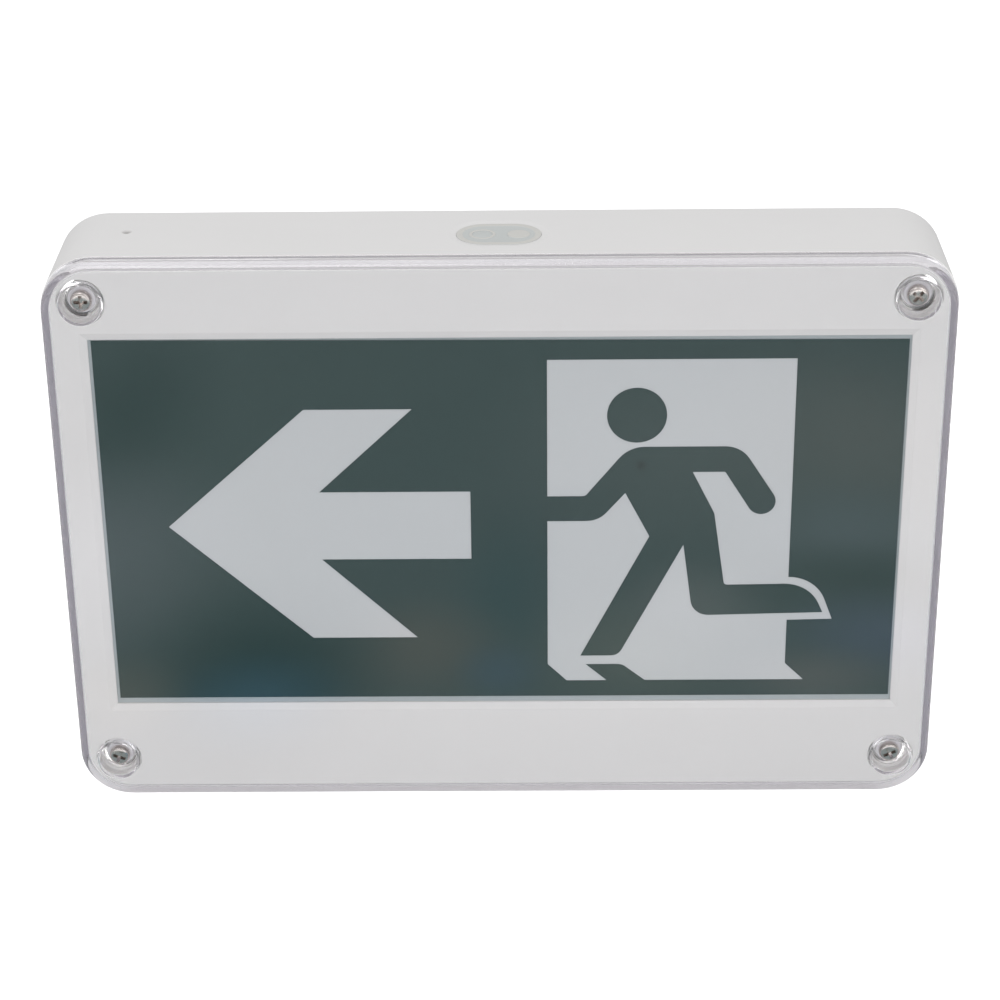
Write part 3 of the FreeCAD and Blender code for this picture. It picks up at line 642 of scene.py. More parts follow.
class Finishes:
    """Every finish of the light, made once."""

    def __init__(self) -> None:
        """Makes the materials."""
        window_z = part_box("test_membrane")[1].z
        # Painted shade: a dark soft spot on the casing's top over its shallow dimple, standing in for the
        # shade in the hollow.
        dimple_painted_shade = Spot((-139.4 * MM, -21.3 * MM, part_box("housing")[1].z), (2.4 * MM, 2.4 * MM, 4 * MM),
                    (0.26, 0.245, 0.235))
        smudge = Spot((53.1 * MM, 0.0, 29.6 * MM), (3.2 * MM, 0.0, 3.2 * MM), (0.006, 0.012, 0.012))
        rub = Spot((133.0 * MM, 0.0, 65.0 * MM), (14.0 * MM, 0.0, 0.35 * MM), (0.008, 0.016, 0.016))
        self.casing_white = Moulded("housing_moulding", (0.845, 0.838, 0.836), 0.44, 0.985,
                                    spots=(dimple_painted_shade,)).material()
        self.bezel_white = Moulded("bezel_moulding", (0.660, 0.652, 0.646), 0.5, 0.985).material()
        self.clear = ClearPolycarbonate("cover_polycarbonate").material()
        # Painted shade: the diffuser's milky acrylic gets a dark grey, which stands for the shade on the
        # narrow strip of it that shows round the film.
        self.panel = Moulded("diffuser_acrylic", (0.36, 0.40, 0.415), 0.35, 0.98, 1800.0, 0.00001).material()
        self.film = Print("legend_film_white", (0.488, 0.507, 0.516), (0.474, 0.494, 0.505)).material()
        self.ink = Print("legend_ink_green", (0.0205, 0.041, 0.038), (0.0175, 0.036, 0.035), 0.55,
                         spots=(smudge, rub)).material()
        self.screw_steel = Metal("screw_plated_steel", (0.68, 0.63, 0.605), 0.2).material()
        self.sheet_steel = Metal("sheet_zinc_steel", (0.66, 0.67, 0.68), 0.34).material()
        self.brass = Metal("insert_brass", (0.78, 0.60, 0.30), 0.28).material()
        self.seal = Moulded("seal_silicone", (0.62, 0.61, 0.64), 0.45, 0.94, 1500.0).material()
        self.gasket = Moulded("gasket_silicone", (0.50, 0.48, 0.52), 0.6, 0.94, 1500.0).material()
        self.foam = Moulded("wall_gasket_foam", (0.09, 0.09, 0.095), 0.85, 0.8, 900.0, 0.0002).material()
        self.membrane = Membrane("test_membrane_rubber", (0.61, 0.636, 0.63), (0.68, 0.674, 0.645),
                                 window_z - 0.24 * MM, window_z - 0.08 * MM).material()
        self.tray_white = Moulded("tray_white_paint", (0.86, 0.86, 0.85), 0.55, 0.98, 900.0).material()
        self.clip_black = Moulded("clip_black_nylon", (0.035, 0.035, 0.037), 0.5, 0.8).material()
        self.black = Moulded("moulded_black_plastic", (0.03, 0.03, 0.032), 0.4, 0.8).material()
        self.blue = Moulded("relay_blue_plastic", (0.03, 0.09, 0.30), 0.35, 0.9).material()
        self.green = Moulded("terminal_green_plastic", (0.03, 0.22, 0.09), 0.4, 0.9).material()
        self.yellow = Moulded("winding_yellow_tape", (0.75, 0.52, 0.05), 0.45, 0.85).material()
        self.wrap = Moulded("cell_wrap_teal", (0.02, 0.20, 0.28), 0.32, 0.9).material()
        self.sleeve = Moulded("capacitor_dark_sleeve", (0.02, 0.025, 0.045), 0.3, 0.85).material()
        self.lamp_red = Moulded("pilot_lamp_red", (0.45, 0.02, 0.02), 0.15, 0.95).material()
        self.led = Moulded("led_yellow_phosphor", (0.80, 0.62, 0.16), 0.4, 0.95).material()
        self.button_grey = Moulded("button_grey_plastic", (0.40, 0.41, 0.41), 0.4, 0.95).material()
        self.driver_mask = CircuitBoard("driver_board_mask", (0.02, 0.13, 0.05),
                                        (0.05, 0.22, 0.08)).material()
        self.led_mask = CircuitBoard("led_board_mask", (0.78, 0.78, 0.76), (0.70, 0.70, 0.67)).material()


def carry(thing: bpy.types.Object, finish: bpy.types.Material) -> None:
    """Gives every slot of a piece one finish.

    Args:
        thing: The piece.
        finish: Its material.
    """
    if not thing.material_slots:
        thing.data.materials.append(finish)
    for slot in thing.material_slots:
        slot.material = finish


def fit(thing: bpy.types.Object, node: str, finish: bpy.types.Material) -> None:
    """Makes a new piece stand for a node of the frame, on the casing.

    Args:
        thing: The new piece.
        node: The node that it replaces.
        finish: Its material.
    """
    carry(thing, finish)
    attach(thing, CASING)
    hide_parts(node)
    LOG.info("%s: %d faces in place of %s", thing.name, len(thing.data.polygons), node)


# ---- the cover ---------------------------------------------------------------------------------
@dataclass
class FrontCover:
    """The clear cover: a flat face with a rounded rim, a skirt with a tongue, and four screw wells."""

    corner_radius: float = 19.5 * MM
    face: float = 2.5 * MM
    skirt: float = 3.0 * MM
    edge_round: float = 3.0 * MM
    foot_round: float = 0.25 * MM
    inner_round: float = 0.8 * MM
    tongue: float = 1.2 * MM
    tongue_length: float = 1.0 * MM
    foot_gap: float = 0.04 * MM
    well_mouth: float = 7.95 * MM
    well_floor: float = 6.2 * MM
    well_depth: float = 7.5 * MM
    well_lip: float = 0.35 * MM
    well_floor_round: float = 0.3 * MM
    well_wall: float = 0.8 * MM
    well_mouth_wall: float = 0.65 * MM
    screw_hole: float = 2.25 * MM
    seal_radius: float = 5.2 * MM
    edge_steps: int = 12
    foot_steps: int = 3
    round_steps: int = 6

    def __post_init__(self) -> None:
        """Reads the outline and the screw places from the frame."""
        low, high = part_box("front_cover")
        self.half_w = (high.x - low.x) / 2
        self.half_h = (high.z - low.z) / 2
        self.front_y = low.y
        self.boss_y = high.y
        self.rim_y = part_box("housing")[0].y
        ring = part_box("screw_seals")[1]
        self.screw_x = ring.x - self.seal_radius
        self.screw_z = ring.z - self.seal_radius

    def rim_section(self) -> list[Point]:
        """The skirt's section, from the front face round the foot to the inner face.

        Returns:
            Points as (distance in from the outline, depth).
        """
        front, rim, foot = self.front_y, self.rim_y - self.foot_gap, self.foot_round
        inner = front + self.face
        tongue_out = self.skirt - self.tongue
        tongue_end = rim + self.tongue_length
        section = [(self.edge_round + GUARD, front)]
        section += arc((self.edge_round, front + self.edge_round), self.edge_round, 270, 180, self.edge_steps)
        section += [(0.0, rim - foot - GUARD)]
        section += arc((foot, rim - foot), foot, 180, 90, self.foot_steps)
        section += [(tongue_out, rim), (tongue_out, tongue_end), (self.skirt, tongue_end)]
        section += [(self.skirt, inner + self.inner_round + GUARD)]
        bend, inner_start = self.inner_round, self.skirt + self.inner_round
        section += arc((inner_start, inner + bend), bend, 180, 270, self.round_steps)
        section += [(inner_start + GUARD, inner)]
        return section

    def well_section(self) -> list[Point]:
        """A well's section, from the front face down the bore and back up outside.

        Returns:
            Points as (radius, depth).
        """
        front = self.front_y
        inner = front + self.face
        floor = front + self.well_depth
        lip, round_in = self.well_lip, self.well_floor_round
        section = [(self.well_mouth + lip + GUARD, front)]
        section += arc((self.well_mouth + lip, front + lip), lip, 270, 180, self.round_steps)
        section += arc((self.well_floor - round_in, floor - round_in), round_in, 0, 90, self.round_steps)
        section += [(self.screw_hole, floor), (self.screw_hole, self.boss_y)]
        section += [(self.well_floor + self.well_wall, self.boss_y)]
        section += [(self.well_mouth + self.well_mouth_wall, inner)]
        return section

    def build(self) -> bpy.types.Object:
        """Makes the cover as one closed shell.

        Returns:
            The cover.
        """
        shell = Shell("clear_cover")
        rim = []
        for inset, y in self.rim_section():
            outline = (self.half_w - inset, self.half_h - inset, self.corner_radius - inset)
            rim.append(shell.loop(rounded_loop(*outline, y)))
        shell.skin(rim)
        mouths, backs = [], []
        for side_x, side_z in CORNER_SIDES:
            x, z = side_x * self.screw_x, side_z * self.screw_z
            well = [shell.loop(round_loop(r, x, y, z)) for r, y in self.well_section()]
            shell.skin(well)
            mouths.append(well[0])
            backs.append(well[-1])
        shell.cap(rim[0], mouths)
        shell.cap(rim[-1], backs)
        return shell.finish()

    def dress(self, finishes: Finishes) -> None:
        """Builds the cover and gives it its finish."""
        fit(self.build(), "front_cover", finishes.clear)


# ---- cover screws and seals ----------------------------------------------------------------------
class CornerPattern(Tree):
    """A Geometry Nodes tree that sets a prototype at the four corners, each turned by its own angle."""

    def __init__(self, name: str) -> None:
        """Builds the tree.

        Args:
            name: The tree's name.
        """
        super().__init__(bpy.data.node_groups.new(name, "GeometryNodeTree"))
        face = self.tree.interface
        face.new_socket("Geometry", in_out="OUTPUT", socket_type="NodeSocketGeometry")
        self.inputs = {}
        for label, kind in (("Prototype", "Object"), ("Finish", "Material"), ("Spacing X", "Float"),
                            ("Spacing Z", "Float"), ("Depth", "Float")):
            self.inputs[label] = face.new_socket(label, in_out="INPUT", socket_type="NodeSocket" + kind)
        for corner in Corner:
            label = "Turn " + corner.name
            self.inputs[label] = face.new_socket(label, in_out="INPUT", socket_type="NodeSocketFloat")
        self.wire()

    def wire(self) -> None:
        """Adds the nodes and joins them."""
        given = self.node("NodeGroupInput").outputs
        grid = self.node("GeometryNodeMeshGrid", {
            "Size X": given["Spacing X"], "Size Y": given["Spacing Z"], "Vertices X": 2, "Vertices Y": 2})
        shift = self.node("ShaderNodeCombineXYZ", {"Y": given["Depth"]})
        stand = self.node("GeometryNodeTransform", {
            "Geometry": grid.outputs["Mesh"], "Translation": shift.outputs[0],
            "Rotation": (math.pi / 2, 0.0, 0.0)})
        turn = self.node("GeometryNodeIndexSwitch", data_type="FLOAT")
        while len(turn.index_switch_items) < len(Corner):
            turn.index_switch_items.new()
        self.feed(turn, {"Index": self.node("GeometryNodeInputIndex").outputs[0]})
        self.feed(turn, {corner.value + 1: given["Turn " + corner.name] for corner in Corner})
        angle = self.node("ShaderNodeCombineXYZ", {"Y": turn.outputs[0]})
        source = self.node("GeometryNodeObjectInfo", {"Object": given["Prototype"]})
        copies = self.node("GeometryNodeInstanceOnPoints", {
            "Points": stand.outputs["Geometry"], "Instance": source.outputs["Geometry"],
            "Rotation": angle.outputs[0]})
        real = self.node("GeometryNodeRealizeInstances", {"Geometry": copies.outputs["Instances"]})
        paint = self.node("GeometryNodeSetMaterial", {
            "Geometry": real.outputs["Geometry"], "Material": given["Finish"]})
        self.node("NodeGroupOutput", {"Geometry": paint.outputs["Geometry"]})

    def lay(self, name: str, values: dict[str, object]) -> bpy.types.Object:
        """Sets the copies out and bakes them to one mesh.

        Args:
            name: The new piece's name.
            values: The tree's inputs, by label.

        Returns:
            The piece.
        """
        carrier = bpy.data.objects.new(name + "_carrier", bpy.data.meshes.new(name + "_carrier"))
        modifier = carrier.modifiers.new("pattern", "NODES")
        modifier.node_group = self.tree
        for label, value in values.items():
            modifier[self.inputs[label].identifier] = value
        bpy.context.scene.collection.objects.link(carrier)
        return baked(carrier, name)


@dataclass
class CoverScrews:
    """Four pan head screws with cross recesses and cut threads, and the seals under their heads."""

    head_radius: float = 4.0 * MM
    head_height: float = 3.1 * MM
    shaft_radius: float = 2.0 * MM
    shaft_length: float = 20.0 * MM
    thread_pitch: float = 0.7 * MM
    thread_depth: float = 0.32 * MM
    steps_per_turn: int = 6
    sides: int = 48
    top_radius: float = 0.1 * MM
    dome_power: float = 0.44
    dome_steps: int = 12
    flank_height: float = 0.9 * MM
    seat_height: float = 0.25 * MM
    seat_bevel: float = 0.15 * MM
    collar_share: float = 0.9
    blade_sections: tuple[Triple, ...] = ((-0.6 * MM, 1.0, 1.0), (0.3 * MM, 0.86, 0.9), (2.0 * MM, 0.3, 0.55))
    wing_length: float = 2.85 * MM
    wing_width: float = 0.70 * MM
    seal_inner: float = 2.25 * MM
    seal_round: float = 0.42
    seal_steps: int = 5
    turns: dict[Corner, float] = field(default_factory=lambda: {
        Corner.LOWER_LEFT: 20.0, Corner.LOWER_RIGHT: 65.0, Corner.UPPER_RIGHT: 40.0, Corner.UPPER_LEFT: 0.0})

    def head_section(self) -> list[Point]:
        """The head's section, from the middle of its top to the shaft.

        Returns:
            Points as (radius, y).
        """
        top, flank = -self.head_height, -self.flank_height
        section = [(self.top_radius, top)]
        for step in range(1, self.dome_steps + 1):
            angle = math.pi / 2 * step / self.dome_steps
            reach = math.sin(angle) ** self.dome_power
            drop = 1.0 - max(0.0, math.cos(angle)) ** self.dome_power
            section.append((self.head_radius * reach, top + (flank - top) * drop))
        return section + [(self.head_radius, -self.seat_height), (self.head_radius - self.seat_bevel, 0.0)]

    def thread(self, shell: Shell) -> list[Loop]:
        """Loops down the shaft whose radius follows the thread.

        Args:
            shell: The shell that takes the loops.

        Returns:
            The loops, from the head to the tip.
        """
        loops = []
        count = int(self.shaft_length / self.thread_pitch * self.steps_per_turn)
        for i in range(count + 1):
            y = self.shaft_length * i / count
            fade = min(1.0, (self.shaft_length - y) / (2 * self.thread_pitch), y / self.thread_pitch)
            points = []
            for side in range(self.sides):
                share = (y / self.thread_pitch + side / self.sides) % 1.0
                crest = 1.0 - abs(2.0 * share - 1.0)
                radius = self.shaft_radius - self.thread_depth * (1.0 - crest * fade)
                angle = 2 * math.pi * side / self.sides
                points.append(Vector((radius * math.cos(angle), y, radius * math.sin(angle))))
            loops.append(shell.loop(points))
        return loops

    def blank(self) -> bpy.types.Object:
        """Makes the screw before its recess is punched.

        Returns:
            The screw.
        """
        shell = Shell("screw_blank")
        head = [shell.loop(round_loop(r, 0.0, y, 0.0, self.sides)) for r, y in self.head_section()]
        collar = shell.loop(round_loop(self.shaft_radius * self.collar_share, 0.0, 0.0, 0.0, self.sides))
        shell.skin([*head, collar])
        shell.cap(head[0], [])
        shaft = self.thread(shell)
        shell.skin([collar, *shaft[1:]])
        for vert in shaft[0]:
            shell.bm.verts.remove(vert)
        shell.cap(shaft[-1], [])
        return shell.finish()

    def punch(self, angle: float) -> bpy.types.Object:
        """One wing pair of the recess, as a tapered blade.

        Args:
            angle: Its turn about the screw's axis.

        Returns:
            The blade.
        """
        shell = Shell("recess_blade")
        loops = []
        for sink, length_share, width_share in self.blade_sections:
            y, x, z = sink - self.head_height, self.wing_length * length_share, self.wing_width * width_share
            loops.append(shell.loop([Vector(p) for p in ((x, y, z), (-x, y, z), (-x, y, -z), (x, y, -z))]))
        shell.skin(loops)
        shell.cap(loops[0], [])
        shell.cap(loops[-1], [])
        blade = shell.finish()
        blade.data.transform(Matrix.Rotation(angle, 4, "Y"))
        return blade

    def prototype(self) -> bpy.types.Object:
        """Makes one finished screw, its seat at the origin.

        Returns:
            The screw.
        """
        screw = self.blank()
        blades = [self.punch(0.0), self.punch(math.pi / 2)]
        for blade in blades:
            cut = screw.modifiers.new("recess", "BOOLEAN")
            cut.operation = "DIFFERENCE"
            cut.object = blade
            cut.solver = "EXACT"
        made = baked(screw, "cover_screw")
        for blade in blades:
            bpy.data.objects.remove(blade)
        return made

    def seal_prototype(self, thickness: float, outer: float) -> bpy.types.Object:
        """Makes one seal: a flat ring with rounded edges, its back at the origin.

        Args:
            thickness: How thick it is.
            outer: Its outer radius.

        Returns:
            The seal.
        """
        r = thickness * self.seal_round
        section = []
        for middle, start in (((outer - r, -r), 90), ((outer - r, r - thickness), 0),
                              ((self.seal_inner + r, r - thickness), 270), ((self.seal_inner + r, -r), 180)):
            section += arc(middle, r, start, start - 90, self.seal_steps)
        shell = Shell("screw_seal")
        loops = [shell.loop(round_loop(radius, 0.0, y, 0.0, self.sides)) for radius, y in section]
        shell.skin([*loops, loops[0]])
        return shell.finish()

    def dress(self, finishes: Finishes, cover: FrontCover) -> None:
        """Sets out the screws and the seals.

        Args:
            finishes: The light's finishes.
            cover: The cover, which gives the places.
        """
        pattern = CornerPattern("corner_pattern")
        low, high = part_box("screw_seals")
        screw = self.prototype()
        seal = self.seal_prototype(high.y - low.y, cover.seal_radius)
        spacing = {"Spacing X": 2 * cover.screw_x, "Spacing Z": 2 * cover.screw_z}
        turns = {"Turn " + corner.name: math.radians(turn) for corner, turn in self.turns.items()}
        screws = pattern.lay("pan_head_screws", {
            "Prototype": screw, "Finish": finishes.screw_steel, "Depth": low.y, **spacing, **turns})
        fit(screws, "cover_screws", finishes.screw_steel)
        seals = pattern.lay("screw_seal_rings", {
            "Prototype": seal, "Finish": finishes.seal, "Depth": high.y, **spacing})
        fit(seals, "screw_seals", finishes.seal)
        for prototype in (screw, seal):
            bpy.data.objects.remove(prototype)


# ---- test window -----------------------------------------------------------------------------------
@dataclass
class TestWindow:
    """The oval rubber window: a low rim, a ring round the button's pad, and a disc over the lamp."""

    half_length: float = 15.9 * MM
    half_width: float = 10.9 * MM
    flange_half_length: float = 19.0 * MM
    flange_thickness: float = 1.2 * MM
    relief: float = 0.25 * MM
    rim_height: float = 0.17 * MM
    rim_width: float = 2.1 * MM
    slope: float = 0.5 * MM
    edge_round: float = 0.15 * MM
    edge_steps: int = 4
    skin: float = 1.0 * MM
    pad_x: float = -6.1 * MM
    ring_outer: float = 4.95 * MM
    ring_inner: float = 3.8 * MM
    pad_pocket: float = 4.8 * MM
    lens_x: float = 7.4 * MM
    lens_radius: float = 4.3 * MM
    lens_pocket: float = 3.5 * MM
    lens_edge: tuple[Point, ...] = (
        (0.0, 0.0), (0.1 * MM, 0.15 * MM), (0.3 * MM, 0.23 * MM), (0.8 * MM, 0.25 * MM))
    bead_power: float = 0.7
    bead_steps: int = 12
    slope_steps: int = 6
    pad_slack: float = 0.03 * MM
    pad_round: Point = (0.1 * MM, 0.02 * MM)
    press_keep: float = 0.3

    def __post_init__(self) -> None:
        """Reads the window's place from the frame."""
        low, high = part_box("test_membrane")
        self.middle_y = (low.y + high.y) / 2
        self.under_z = low.z
        self.face_z = high.z - self.relief
        self.skin_z = self.face_z - self.skin

    def circles(self, shell: Shell, x: float, section: list[Point]) -> list[Loop]:
        """Loops of a turned part of the window, joined.

        Args:
            shell: The shell that takes them.
            x: Where the axis stands.
            section: (radius, height) points.

        Returns:
            The loops, in the section's order.
        """
        loops = [shell.loop(level_round(r, x, self.middle_y, z)) for r, z in section]
        shell.skin(loops)
        return loops

    def bead(self, outer: float, inner: float) -> list[Point]:
        """The section of the raised ring, from outside to inside.

        Args:
            outer: The ring's outer radius.
            inner: Its inner radius.

        Returns:
            Points as (radius, height).
        """
        half = (outer - inner) / 2
        section = []
        for step in range(self.bead_steps + 1):
            angle = math.pi * step / self.bead_steps
            rise = self.relief * math.sin(angle) ** self.bead_power
            section.append((inner + half + half * math.cos(angle), self.face_z + rise))
        return section

    def build(self) -> bpy.types.Object:
        """Makes the window's rubber, with a hole where the pad goes.

        Returns:
            The window.
        """
        shell = Shell("test_window")
        flange_z = self.under_z + self.flange_thickness
        rim_z = self.face_z + self.rim_height
        inset = self.rim_width
        flange = self.half_length - self.flange_half_length
        section = [(flange, self.under_z), (flange, flange_z), (0.0, flange_z)]
        middle = (self.edge_round, rim_z - self.edge_round)
        section += arc(middle, self.edge_round, 180, 90, self.edge_steps)
        for step in range(self.slope_steps + 1):
            share = step / self.slope_steps
            section.append((inset + self.slope * share,
                            rim_z - self.rim_height * (3 * share ** 2 - 2 * share ** 3)))
        sides = [shell.loop(level_stadium(self.half_length - d, self.half_width - d, self.middle_y, z))
                 for d, z in section]
        shell.skin(sides)
        ring = self.circles(shell, self.pad_x, self.bead(self.ring_outer, self.ring_inner) + [
            (self.ring_inner, self.skin_z), (self.pad_pocket, self.skin_z), (self.pad_pocket, self.under_z)])
        lens = self.circles(shell, self.lens_x, [
            (self.lens_radius - inward, self.face_z + rise) for inward, rise in self.lens_edge])
        pocket = self.circles(shell, self.lens_x, [
            (self.lens_pocket, self.skin_z), (self.lens_pocket, self.under_z)])
        shell.cap(lens[-1], [])
        shell.cap(pocket[0], [])
        shell.cap(sides[-1], [ring[0], lens[0]])
        shell.cap(sides[0], [ring[-1], pocket[-1]])
        return shell.finish()

    def pad(self) -> bpy.types.Object:
        """Makes the round pad over the button, which gives way under a finger.

        Returns:
            The pad.
        """
        shell = Shell("test_pad")
        radius, (inward, fall) = self.ring_inner - self.pad_slack, self.pad_round
        loops = self.circles(shell, self.pad_x, [
            (radius, self.skin_z), (radius, self.face_z - fall), (radius - inward, self.face_z)])
        shell.cap(loops[0], [])
        shell.cap(loops[-1], [])
        return shell.finish()

    def dress(self, finishes: Finishes) -> None:
        """Builds the window and the pad, and gives the pad a mesh of its own.

        Args:
            finishes: The light's finishes.
        """
        window, pad = self.build(), self.pad()
        for piece in (window, pad):
            fit(piece, "test_membrane", finishes.membrane)
        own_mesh(pad)


# ---- what is carried over --------------------------------------------------------------------------
@dataclass
class Carried:
    """The nodes whose shapes stay as they are, each with its own finish."""

    finishes: Finishes

    def table(self) -> dict[str, bpy.types.Material]:
        """The finish of each node.

        Returns:
            The materials, by node.
        """
        f = self.finishes
        return {
            "housing": f.casing_white, "bezel": f.bezel_white, "diffuser_panel": f.panel,
            "legend_film": f.film, "legend_ink": f.ink, "cover_gasket": f.gasket,
            "wall_gasket": f.foam, "threaded_inserts": f.brass, "panel_clips": f.clip_black,
            "clip_screws": f.screw_steel, "reflector_tray": f.tray_white, "tray_screws": f.screw_steel,
            "led_board_upper": f.led_mask, "led_board_lower": f.led_mask, "led_packages": f.led,
            "led_board_screws": f.screw_steel, "driver_board": f.driver_mask, "driver_screws": f.screw_steel,
            "transformer": f.yellow, "capacitors": f.sleeve, "relay": f.blue, "terminal_block": f.green,
            "terminal_screws": f.screw_steel, "battery_socket": f.black, "battery_cradle": f.black,
            "battery_cells": f.wrap, "battery_strap": f.sheet_steel, "battery_strap_screws": f.screw_steel,
            "test_bracket": f.black, "bracket_screws": f.screw_steel, "test_board": f.driver_mask,
            "test_switch": f.black, "test_button": f.button_grey, "lamp_spacer": f.black,
            "pilot_lamp": f.lamp_red,
        }

    def dress(self, nodes: dict[str, bpy.types.Object]) -> None:
        """Paints the nodes.

        Args:
            nodes: The frame's nodes by name.
        """
        for name, finish in self.table().items():
            carry(nodes[name], finish)
            LOG.info("%s: %s", name, finish.name)


# ---- studio ----------------------------------------------------------------------------------------
@dataclass(frozen=True)
class Softbox:
    """A rectangular lamp that faces the light."""

    name: str
    stand: Triple
    size: Point
    power: float
    hidden: bool = False


def hide(thing: bpy.types.Object, *rays: str) -> None:
    """Keeps an object from the named kinds of ray.

    Args:
        thing: The object.
        rays: The kinds of ray.
    """
    for ray in rays:
        setattr(thing, "visible_" + ray, False)


@dataclass
class Studio:
    """A pale floor, soft lamps, a card below the lens, and the camera."""

    floor_size: float = 12.0
    floor_colour: Colour = (0.80, 0.80, 0.80)
    floor_grain: float = 40.0
    floor_roughness: Point = (0.85, 0.95)
    floor_lift: float = 0.75
    floor_lift_in_gloss: float = 0.05
    ambient: float = 0.80
    eye: Triple = (0.0111, -0.9566, 0.4616)
    pitch: float = -26.216
    yaw: float = -0.726
    roll: float = -0.650
    lens: float = 95.62
    sensor: float = 36.0
    clip_start: float = 0.01
    softboxes: tuple[Softbox, ...] = (
        Softbox("key_softbox", (-0.7, -1.1, 1.6), (1.4, 1.0), 9.0),
        Softbox("fill_softbox", (1.0, -1.2, 0.9), (1.2, 1.2), 4.0),
        Softbox("low_softbox", (0.0, -0.95, 0.0), (1.4, 0.22), 0.9),
        Softbox("floor_bounce", (0.0, -0.34, -0.10), (0.5, 0.12), 0.42, True),
    )
    soak_inset: float = 5.2 * MM
    soak_y: float = -40.0 * MM
    soak_radius: float = 2.0 * MM
    soak_lamps: tuple[Point, ...] = ((-8.5 * MM, 0.0048), (5.8 * MM, 0.0042))
    card_low: Point = (-0.8, -1.0)
    card_high: Point = (0.8, -0.06)
    card_rise: float = 0.5 * MM
    card_colour: Colour = (0.31, 0.38, 0.39)
    card_spots: tuple[Spot, ...] = (
        Spot((-0.20, -0.43, 0.0), (0.06, 0.14, 0.0), (0.18, 0.23, 0.24)),
        Spot((0.085, -0.38, 0.0), (0.12, 0.17, 0.0), (0.48, 0.54, 0.54)),
        Spot((-0.19, -0.26, 0.0), (0.08, 0.14, 0.0), (0.60, 0.66, 0.72)),
        Spot((0.0, -0.22, 0.0), (0.035, 0.11, 0.0), (0.22, 0.34, 0.37)),
        Spot((-0.038, -0.172, 0.0), (0.05, 0.06, 0.0), (0.50, 0.47, 0.42)),
        Spot((-0.105, -0.15, 0.0), (0.075, 0.11, 0.0), (0.05, 0.11, 0.12)),
        Spot((-0.105, -0.125, 0.0), (0.05, 0.055, 0.0), (0.12, 0.32, 0.50)),
        Spot((-0.165, -0.13, 0.0), (0.035, 0.05, 0.0), (0.50, 0.50, 0.45)),
        Spot((-0.002, -0.15, 0.0), (0.025, 0.035, 0.0), (0.30, 0.42, 0.55)),
        Spot((0.060, -0.168, 0.0), (0.06, 0.07, 0.0), (0.56, 0.61, 0.56)),
        Spot((0.086, -0.211, 0.0), (0.045, 0.055, 0.0), (0.60, 0.64, 0.64)),
        Spot((0.180, -0.39, 0.0), (0.10, 0.17, 0.0), (0.57, 0.59, 0.57)),
        Spot((0.165, -0.283, 0.0), (0.065, 0.07, 0.0), (0.51, 0.60, 0.65)),
        Spot((0.164, -0.234, 0.0), (0.075, 0.05, 0.0), (0.24, 0.29, 0.29)),
        Spot((0.166, -0.181, 0.0), (0.055, 0.055, 0.0), (0.40, 0.48, 0.66)),
        Spot((0.132, -0.145, 0.0), (0.05, 0.035, 0.0), (0.60, 0.60, 0.60)),
    )

    def floor_material(self) -> bpy.types.Material:
        """A pale floor that takes the light's shadow.

        The camera sees it lifted to white; gloss and glass see it hardly lifted at all.

        Returns:
            The material.
        """
        g = Graph("studio_floor")
        path = g.node("ShaderNodeLightPath").outputs
        gloss = g.node("ShaderNodeMath", {0: path["Is Glossy Ray"], 1: path["Is Transmission Ray"]},
                       operation="MAXIMUM")
        dimmed = g.node("ShaderNodeMath", {0: gloss.outputs[0], 1: self.floor_lift_in_gloss},
                        operation="MULTIPLY")
        lift = g.node("ShaderNodeMath", {0: path["Is Camera Ray"], 1: self.floor_lift, 2: dimmed.outputs[0]},
                      operation="MULTIPLY_ADD")
        rough = g.spread(g.grain(self.floor_grain), *self.floor_roughness)
        return g.coat({
            "Base Color": (*self.floor_colour, 1.0), "Roughness": rough, "Specular IOR Level": 0.0,
            "Emission Color": (1, 1, 1, 1), "Emission Strength": lift.outputs[0]})

    def card_material(self) -> bpy.types.Material:
        """A dim surround with soft patches, which only gloss and glass pick up.

        Returns:
            The material.
        """
        g = Graph("studio_card")
        colour = g.spotted(self.card_colour, self.card_spots)
        return g.close(g.node("ShaderNodeEmission", {"Color": colour}).outputs[0])

    def sheet(self, name: str, low: Point, high: Point, z: float) -> bpy.types.Object:
        """Makes a flat level sheet that isn't part of the light.

        Args:
            name: The sheet's name.
            low: Its least x and y.
            high: Its greatest x and y.
            z: Its height.

        Returns:
            The sheet.
        """
        shell = Shell(name)
        corners = [(low[0], low[1]), (high[0], low[1]), (high[0], high[1]), (low[0], high[1])]
        shell.cap(shell.loop([Vector((x, y, z)) for x, y in corners]), [])
        thing = shell.finish()
        thing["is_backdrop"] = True
        return thing

    def build(self, floor_z: float) -> None:
        """Lays the floor and the card, and sets up the world, the lamps and the camera.

        Args:
            floor_z: The height of the surface that the light stands on.
        """
        half = self.floor_size / 2
        floor = self.sheet("studio_floor", (-half, -half), (half, half), floor_z)
        carry(floor, self.floor_material())
        card = self.sheet("studio_card", self.card_low, self.card_high, floor_z + self.card_rise)
        carry(card, self.card_material())
        hide(card, "camera", "diffuse", "shadow", "volume_scatter")
        self.world()
        for box in self.softboxes:
            self.softbox(box)
        self.soak()
        self.camera()

    def lamp(self, name: str, kind: str, stand: Triple, power: float) -> bpy.types.Object:
        """Sets up a lamp.

        Args:
            name: Its name.
            kind: Its type.
            stand: Where it stands.
            power: Its power in watts.

        Returns:
            The lamp.
        """
        data = bpy.data.lights.new(name, kind)
        data.energy = power
        lamp = bpy.data.objects.new(name, data)
        lamp.location = stand
        bpy.context.scene.collection.objects.link(lamp)
        return lamp

    def softbox(self, box: Softbox) -> None:
        """Sets up a softbox, turned to the middle of the light.

        Args:
            box: Its name, place, size and power.
        """
        lamp = self.lamp(box.name, "AREA", box.stand, box.power)
        lamp.data.shape = "RECTANGLE"
        lamp.data.size, lamp.data.size_y = box.size
        lamp.rotation_euler = (-Vector(box.stand)).to_track_quat("-Z", "Y").to_euler()
        if box.hidden:
            hide(lamp, "camera", "glossy", "transmission")

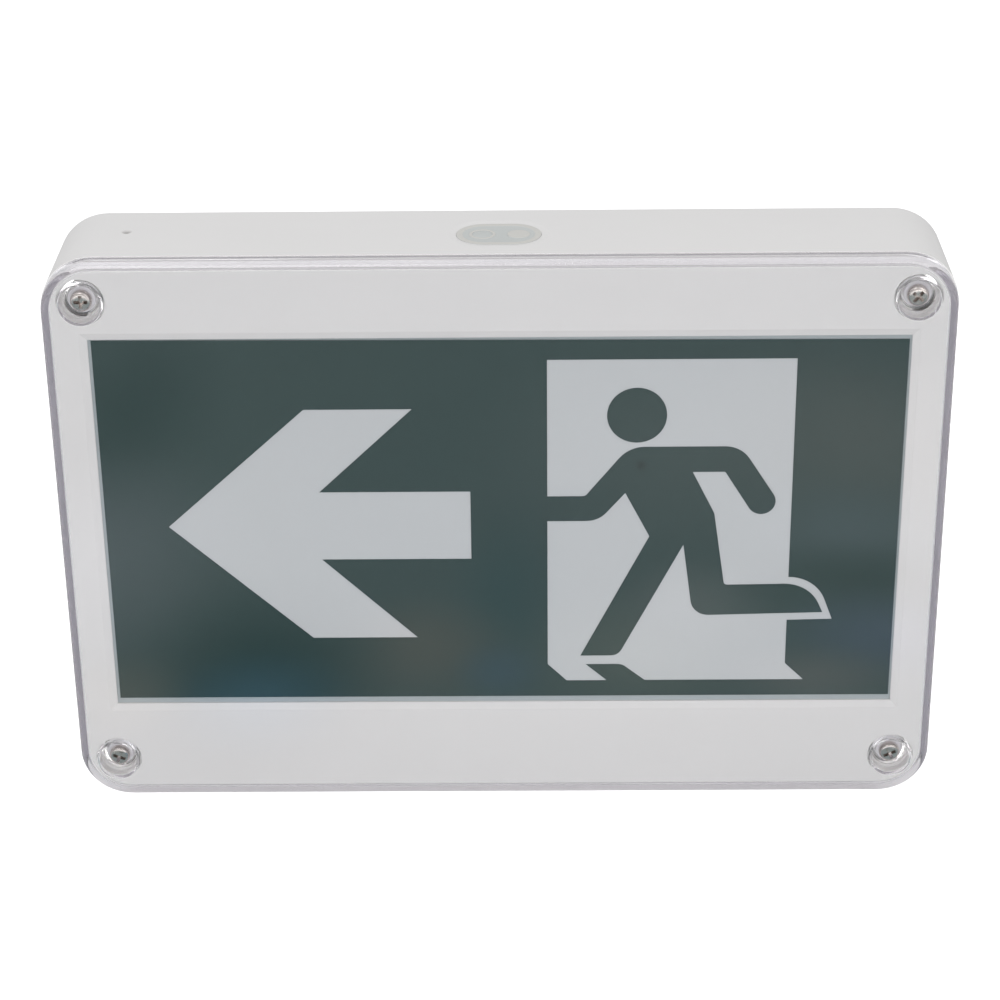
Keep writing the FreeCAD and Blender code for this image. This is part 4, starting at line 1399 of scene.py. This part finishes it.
    def soak(self) -> None:
        """Sets faint lamps inside the casing's corners, which keep the screw wells pale."""
        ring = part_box("screw_seals")[1]
        axis_x, axis_z = ring.x - self.soak_inset, ring.z - self.soak_inset
        for side_x, side_z in CORNER_SIDES:
            for reach, power in self.soak_lamps:
                stand = (side_x * (axis_x + reach), self.soak_y, side_z * (axis_z + reach))
                lamp = self.lamp("casing_soak", "POINT", stand, power)
                lamp.data.shadow_soft_size = self.soak_radius
                hide(lamp, "camera", "glossy", "transmission")

    def world(self) -> None:
        """Makes an even surround: white to the camera, and at the ambient level to every other ray."""
        world = bpy.data.worlds.new("studio_world")
        bpy.context.scene.world = world
        world.use_nodes = True
        g = Tree(world.node_tree)
        path = g.node("ShaderNodeLightPath").outputs
        level = g.node("ShaderNodeMapRange", {
            "Value": path["Is Camera Ray"], "To Min": self.ambient, "To Max": 1.0})
        air = g.node("ShaderNodeBackground", {"Strength": level.outputs["Result"]})
        g.node("ShaderNodeOutputWorld", {"Surface": air.outputs[0]})

    def camera(self) -> None:
        """Sets up the camera, which looks down on the front of the light."""
        data = bpy.data.cameras.new("camera")
        data.lens = self.lens
        data.sensor_width = self.sensor
        data.clip_start = self.clip_start
        thing = bpy.data.objects.new("camera", data)
        yaw, pitch, roll = (math.radians(v) for v in (self.yaw, self.pitch, self.roll))
        forward = Vector((math.sin(yaw) * math.cos(pitch), math.cos(yaw) * math.cos(pitch), math.sin(pitch)))
        right = Vector((math.cos(yaw), -math.sin(yaw), 0.0))
        up = right.cross(forward)
        level = right * math.cos(roll) + up * math.sin(roll)
        rise = up * math.cos(roll) - right * math.sin(roll)
        turn = Matrix((level, rise, -forward)).transposed()
        thing.matrix_world = Matrix.Translation(self.eye) @ turn.to_4x4()
        bpy.context.scene.collection.objects.link(thing)
        bpy.context.scene.camera = thing


def main() -> None:
    """Builds the light's looks round the frame."""
    logging.basicConfig(level=logging.INFO, format="%(name)s: %(message)s")
    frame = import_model()
    frame_low, frame_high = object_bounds()
    bpy.context.scene.view_settings.view_transform = "Standard"
    finishes = Finishes()
    Carried(finishes).dress(frame["nodes"])
    cover = FrontCover()
    cover.dress(finishes)
    CoverScrews().dress(finishes, cover)
    TestWindow().dress(finishes)
    Studio().build(frame_low.z)


if __name__ == "__main__":
    main()
